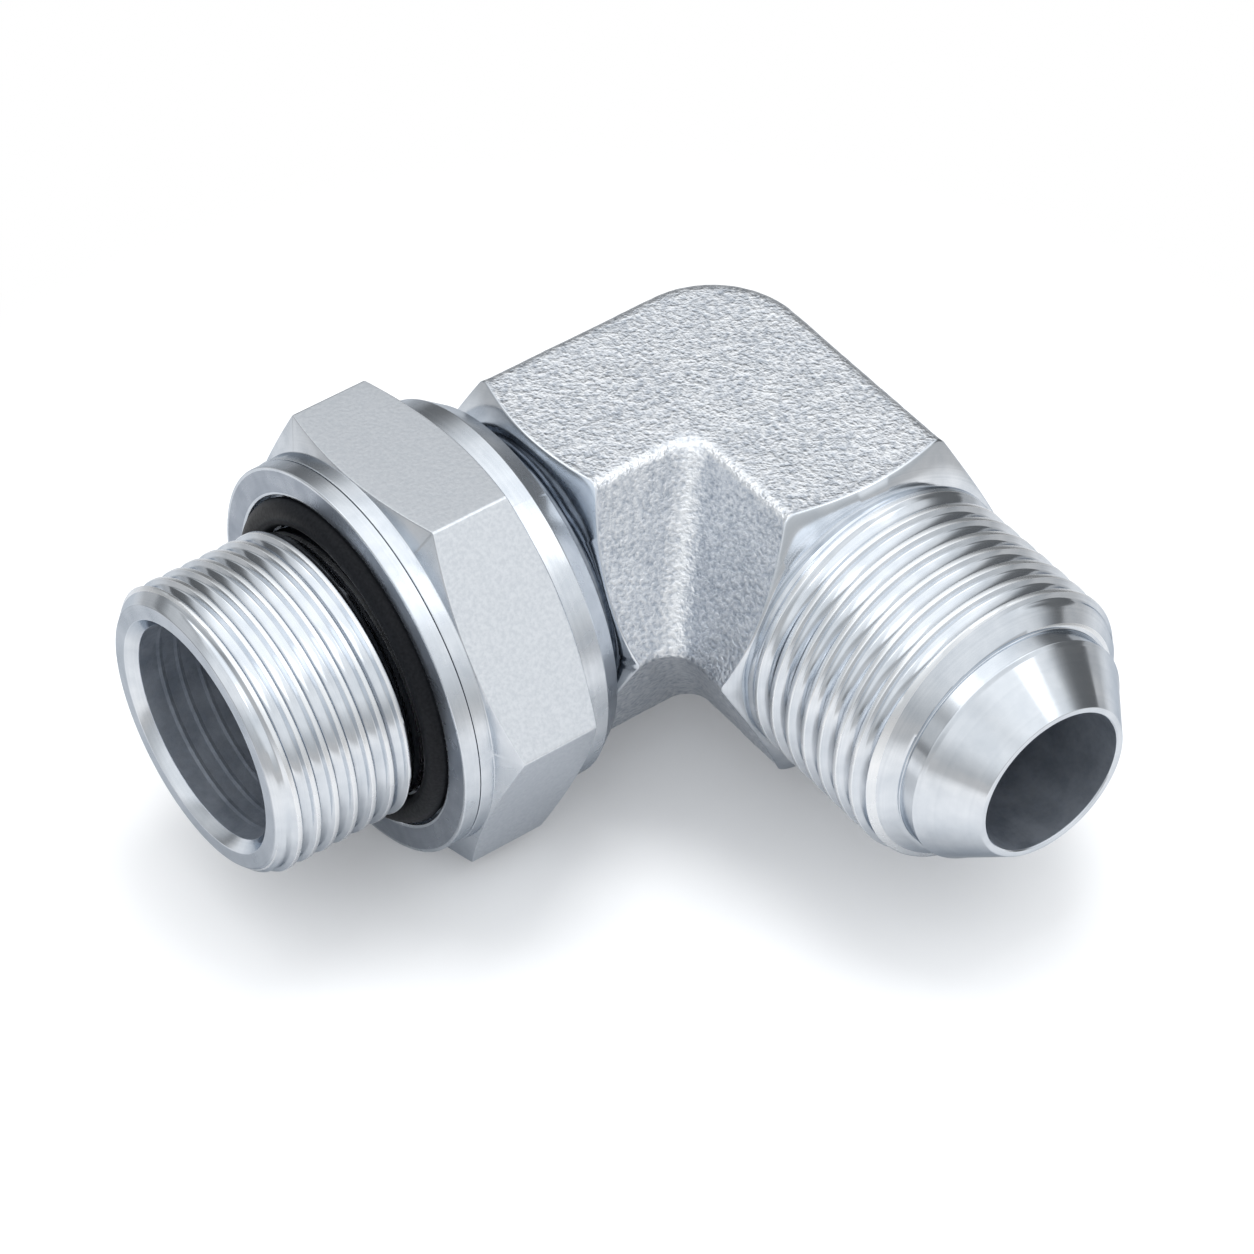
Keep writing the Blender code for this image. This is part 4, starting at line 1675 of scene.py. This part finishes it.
@dataclass(frozen=True)
class Softbox:
    """A soft rectangular lamp that looks at the object.

    Attributes:
        name: Name of the lamp.
        direction: Direction from the object to the lamp.
        distance: Distance in metres.
        width: Width in metres.
        height: Height in metres.
        power: Power in watts.
        color: Color of the light.
        mirrored: Whether metal shows the lamp.
    """

    name: str
    direction: tuple[float, float, float]
    distance: float
    width: float
    height: float
    power: float
    color: Color = (1.0, 1.0, 1.0)
    mirrored: bool = True

    def build(self, target: Vector) -> None:
        """Hang the lamp and turn it to the object.

        Args:
            target: The point that the lamp looks at, in metres.
        """
        data = bpy.data.lights.new(self.name, "AREA")
        data.shape = "RECTANGLE"
        data.size = self.width
        data.size_y = self.height
        data.energy = self.power
        data.color = self.color
        lamp = bpy.data.objects.new(self.name, data)
        towards = Vector(self.direction).normalized()
        lamp.location = target + towards * self.distance
        lamp.rotation_mode = "QUATERNION"
        lamp.rotation_quaternion = towards.to_track_quat("Z", "Y")
        lamp.visible_glossy = self.mirrored
        bpy.context.scene.collection.objects.link(lamp)


@dataclass(frozen=True)
class Card:
    """A large card at the edge of the room, which only the metal's reflections show.

    Attributes:
        side: Direction of the card's middle.
        edge: How closely a direction points to that middle where the card starts.
        full: How closely it points there where the card is at its full tone.
        tones: Upward parts of a direction, and the tone that metal mirrors there.
    """

    side: tuple[float, float, float]
    edge: float
    full: float
    tones: Stops


@dataclass(frozen=True)
class Studio:
    """A pale table in a pale room, with dark cards at its edge for the metal to mirror.

    Attributes:
        floor_size: Side of the table.
        floor_color: Color of the table.
        fade_start: Distance from the middle at which the table starts to turn plain white.
        fade_end: Distance at which it is white.
        lift: Glow of the table, for the camera and for reflections.
        fill_low: Strength of the soft light at the horizon.
        fill_high: How much stronger it is overhead.
        fill_color: Color of that light.
        table_dim: How much greyer the lit table is in reflections than to the camera.
        far_start: Distance from the middle at which the mirrored table starts to turn grey.
        far_end: Distance at which it has its far tone.
        far_tone: Tone of the far table in reflections.
        room_tones: Upward parts of a direction, and the tone that metal mirrors there.
        back_card: The dark card behind the elbow.
        side_card: The dimmer card at its left.
        cast: Faint tint of the tones that metal mirrors.
        lowest: Upward part of a direction at which those tones start.
    """

    floor_size: float = 1.6
    floor_color: Color = (0.90, 0.905, 0.91)
    fade_start: float = 0.034
    fade_end: float = 0.090
    lift: float = 0.08
    fill_low: float = 0.45
    fill_high: float = 0.92
    fill_color: Color = (0.965, 0.98, 1.0)
    table_dim: float = 0.28
    far_start: float = 0.09
    far_end: float = 0.15
    far_tone: float = 0.56
    room_tones: Stops = (
        (-0.20, 0.64), (-0.02, 0.56), (0.0, 0.54), (0.06, 0.58), (0.16, 0.70), (0.32, 0.92),
        (0.52, 0.96), (0.66, 0.88), (0.76, 1.06), (0.84, 1.24), (1.0, 1.24),
    )
    back_card: Card = Card((-0.45, 0.89, 0.0), 0.34, 0.54, (
        (-0.20, 0.46), (-0.10, 0.26), (0.0, 0.14), (0.32, 0.16), (0.42, 0.30), (0.54, 0.74),
        (0.68, 0.90), (0.80, 1.16), (1.0, 1.24),
    ))
    side_card: Card = Card((-0.80, -0.60, 0.0), 0.72, 0.84, (
        (-0.20, 0.66), (-0.06, 0.40), (0.0, 0.24), (0.06, 0.28), (0.16, 0.56), (0.36, 0.64),
        (0.50, 0.46), (0.60, 0.52), (0.72, 1.0),
    ))
    cast: Color = (0.955, 0.98, 1.0)
    lowest: float = -0.2

    def lamps(self) -> list[Softbox]:
        """List the studio's lamps.

        Returns:
            The lamps, the one that casts the shadow first.
        """
        return [
            Softbox("shadow lamp", (-0.12, 0.16, 0.98), 0.80, 0.36, 0.36, 2.3, mirrored=False),
            Softbox("right lamp", (0.44, 0.42, 0.79), 0.60, 0.28, 0.28, 0.15),
            Softbox("left lamp", (-0.53, -0.36, 0.77), 0.60, 0.24, 0.24, 0.10),
            Softbox("front lamp", (0.41, -0.57, 0.71), 0.60, 0.16, 0.16, 0.07),
        ]

    def build_floor(self) -> None:
        """Lay the table, which keeps shadows near the object and turns plain white far out."""
        half = self.floor_size / 2
        mesh = bpy.data.meshes.new("floor")
        corners = [(-half, -half, 0), (half, -half, 0), (half, half, 0), (-half, half, 0)]
        mesh.from_pydata(corners, [], [(0, 1, 2, 3)])
        mesh.materials.append(self.table_material())
        floor = bpy.data.objects.new("floor", mesh)
        bpy.context.scene.collection.objects.link(floor)

    def table_material(self) -> bpy.types.Material:
        """Make the table's finish, which reflections show greyer than the camera does.

        Returns:
            The material.
        """
        sheet = NodeSheet("pale table")
        sheet.tree.nodes.remove(sheet.shader)
        seen = sheet.seen()
        mirrored = sheet.add("ShaderNodeLightPath").outputs["Is Glossy Ray"]
        distance = sheet.length(sheet.add("ShaderNodeTexCoord").outputs["Object"])
        far = sheet.spread(distance, 0, 1, self.fade_start, self.fade_end, "SMOOTHSTEP")
        fall = sheet.spread(distance, 0, self.far_tone - 1, self.far_start, self.far_end)
        diffuse = sheet.add("ShaderNodeBsdfDiffuse", {"Color": (*self.floor_color, 1)})
        lift = (self.lift, self.lift, self.lift, 1)
        glow = sheet.add("ShaderNodeEmission", {"Color": lift, "Strength": seen})
        lit = sheet.add("ShaderNodeAddShader", {0: diffuse.outputs[0], 1: glow.outputs[0]})
        dimmed = sheet.mix(sheet.work_out("MULTIPLY", mirrored, self.table_dim), lit, None)
        tone = sheet.work_out("MULTIPLY_ADD", fall, mirrored, 1)
        white = sheet.add("ShaderNodeEmission", {"Color": (1, 1, 1, 1), "Strength": tone})
        table = sheet.mix(sheet.work_out("MULTIPLY", far, seen), dimmed, white)
        sheet.feed(sheet.tree.nodes["Material Output"], {"Surface": table.outputs[0]})
        return sheet.material

    def build_world(self) -> None:
        """Light the world: white to the camera, toned for reflections, soft for everything else."""
        world = bpy.data.worlds.new("studio")
        world.use_nodes = True
        bpy.context.scene.world = world
        world.node_tree.nodes.clear()
        sky = Wiring(world.node_tree)
        direction = sky.add("ShaderNodeTexCoord").outputs["Generated"]
        upward = sky.add("ShaderNodeSeparateXYZ", {0: direction}).outputs["Z"]
        height = sky.spread(upward, 0, 1, self.lowest, 1)
        tone = self.paint(sky, height, self.room_tones)
        for card in (self.side_card, self.back_card):
            towards = sky.add("ShaderNodeVectorMath", {0: direction, 1: card.side}, operation="DOT_PRODUCT")
            share = sky.spread(towards.outputs["Value"], 0, 1, card.edge, card.full, "SMOOTHSTEP")
            tone = sky.blend(share, tone, self.paint(sky, height, card.tones))
        overhead = sky.work_out("MAXIMUM", upward, 0)
        strength = sky.work_out("MULTIPLY_ADD", overhead, self.fill_high, self.fill_low)
        soft = sky.add("ShaderNodeBackground", {"Color": (*self.fill_color, 1), "Strength": strength})
        reflected = sky.add("ShaderNodeBackground", {"Color": tone})
        white = sky.add("ShaderNodeBackground", {"Color": (1, 1, 1, 1)})
        rays = sky.add("ShaderNodeLightPath").outputs
        lit = sky.mix(rays["Is Glossy Ray"], soft, reflected)
        shown = sky.mix(rays["Is Camera Ray"], lit, white)
        sky.add("ShaderNodeOutputWorld", {"Surface": shown.outputs[0]})

    def paint(self, sky: Wiring, height: Socket, stops: Stops) -> Socket:
        """Return the tone that a list of stops gives at a height.

        Args:
            sky: The world's nodes.
            height: The upward part of a direction, scaled from 0 to 1.
            stops: Heights, as the upward part of a direction, and their tones.

        Returns:
            The tone.
        """
        node = sky.add("ShaderNodeValToRGB", {"Fac": height})
        elements = node.color_ramp.elements
        while len(elements) < len(stops):
            elements.new(0.5)
        for element, (upward, tone) in zip(elements, stops):
            element.position = (upward - self.lowest) / (1 - self.lowest)
            element.color = (*(tone * part for part in self.cast), 1)
        return node.outputs["Color"]

    def build(self, target: Vector) -> None:
        """Set up the floor, the world and the lamps.

        Args:
            target: The point that the lamps look at.
        """
        self.build_floor()
        self.build_world()
        for lamp in self.lamps():
            lamp.build(target)
        bpy.context.scene.view_settings.view_transform = "Standard"


def find_crossing(elbow: Elbow) -> Vector:
    """Return the point where the arms' axes cross, in metres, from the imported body's box."""
    low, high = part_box("elbow_body")
    return Vector((high.x - elbow.flare_reach * MM, low.y + elbow.stud_reach * MM, (low.z + high.z) / 2))


def write_size() -> None:
    """Update the view layer."""
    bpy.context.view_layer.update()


def main() -> None:
    """Build the adapter's pieces, then the studio and the camera."""
    logging.basicConfig(level=logging.INFO, format="%(name)s: %(message)s")
    elbow = Elbow()
    crossing = find_crossing(elbow)
    origin = np.array(crossing) / MM
    stud = Axis(origin, np.array((0.0, -1.0, 0.0)), np.array((1.0, 0.0, 0.0)), np.array((0.0, 0.0, 1.0)))
    flare = Axis(origin, np.array((1.0, 0.0, 0.0)), np.array((0.0, 1.0, 0.0)), np.array((0.0, 0.0, 1.0)))
    finishes = Finishes.make(crossing)
    elbow.build(stud, flare, finishes)
    LockNut().build(stud, finishes)
    RetainingRing().build(stud, finishes)
    ORing().build(stud, finishes)
    Studio().build(crossing)
    Viewpoint().build(crossing)
    write_size()


if __name__ == "__main__":
    main()
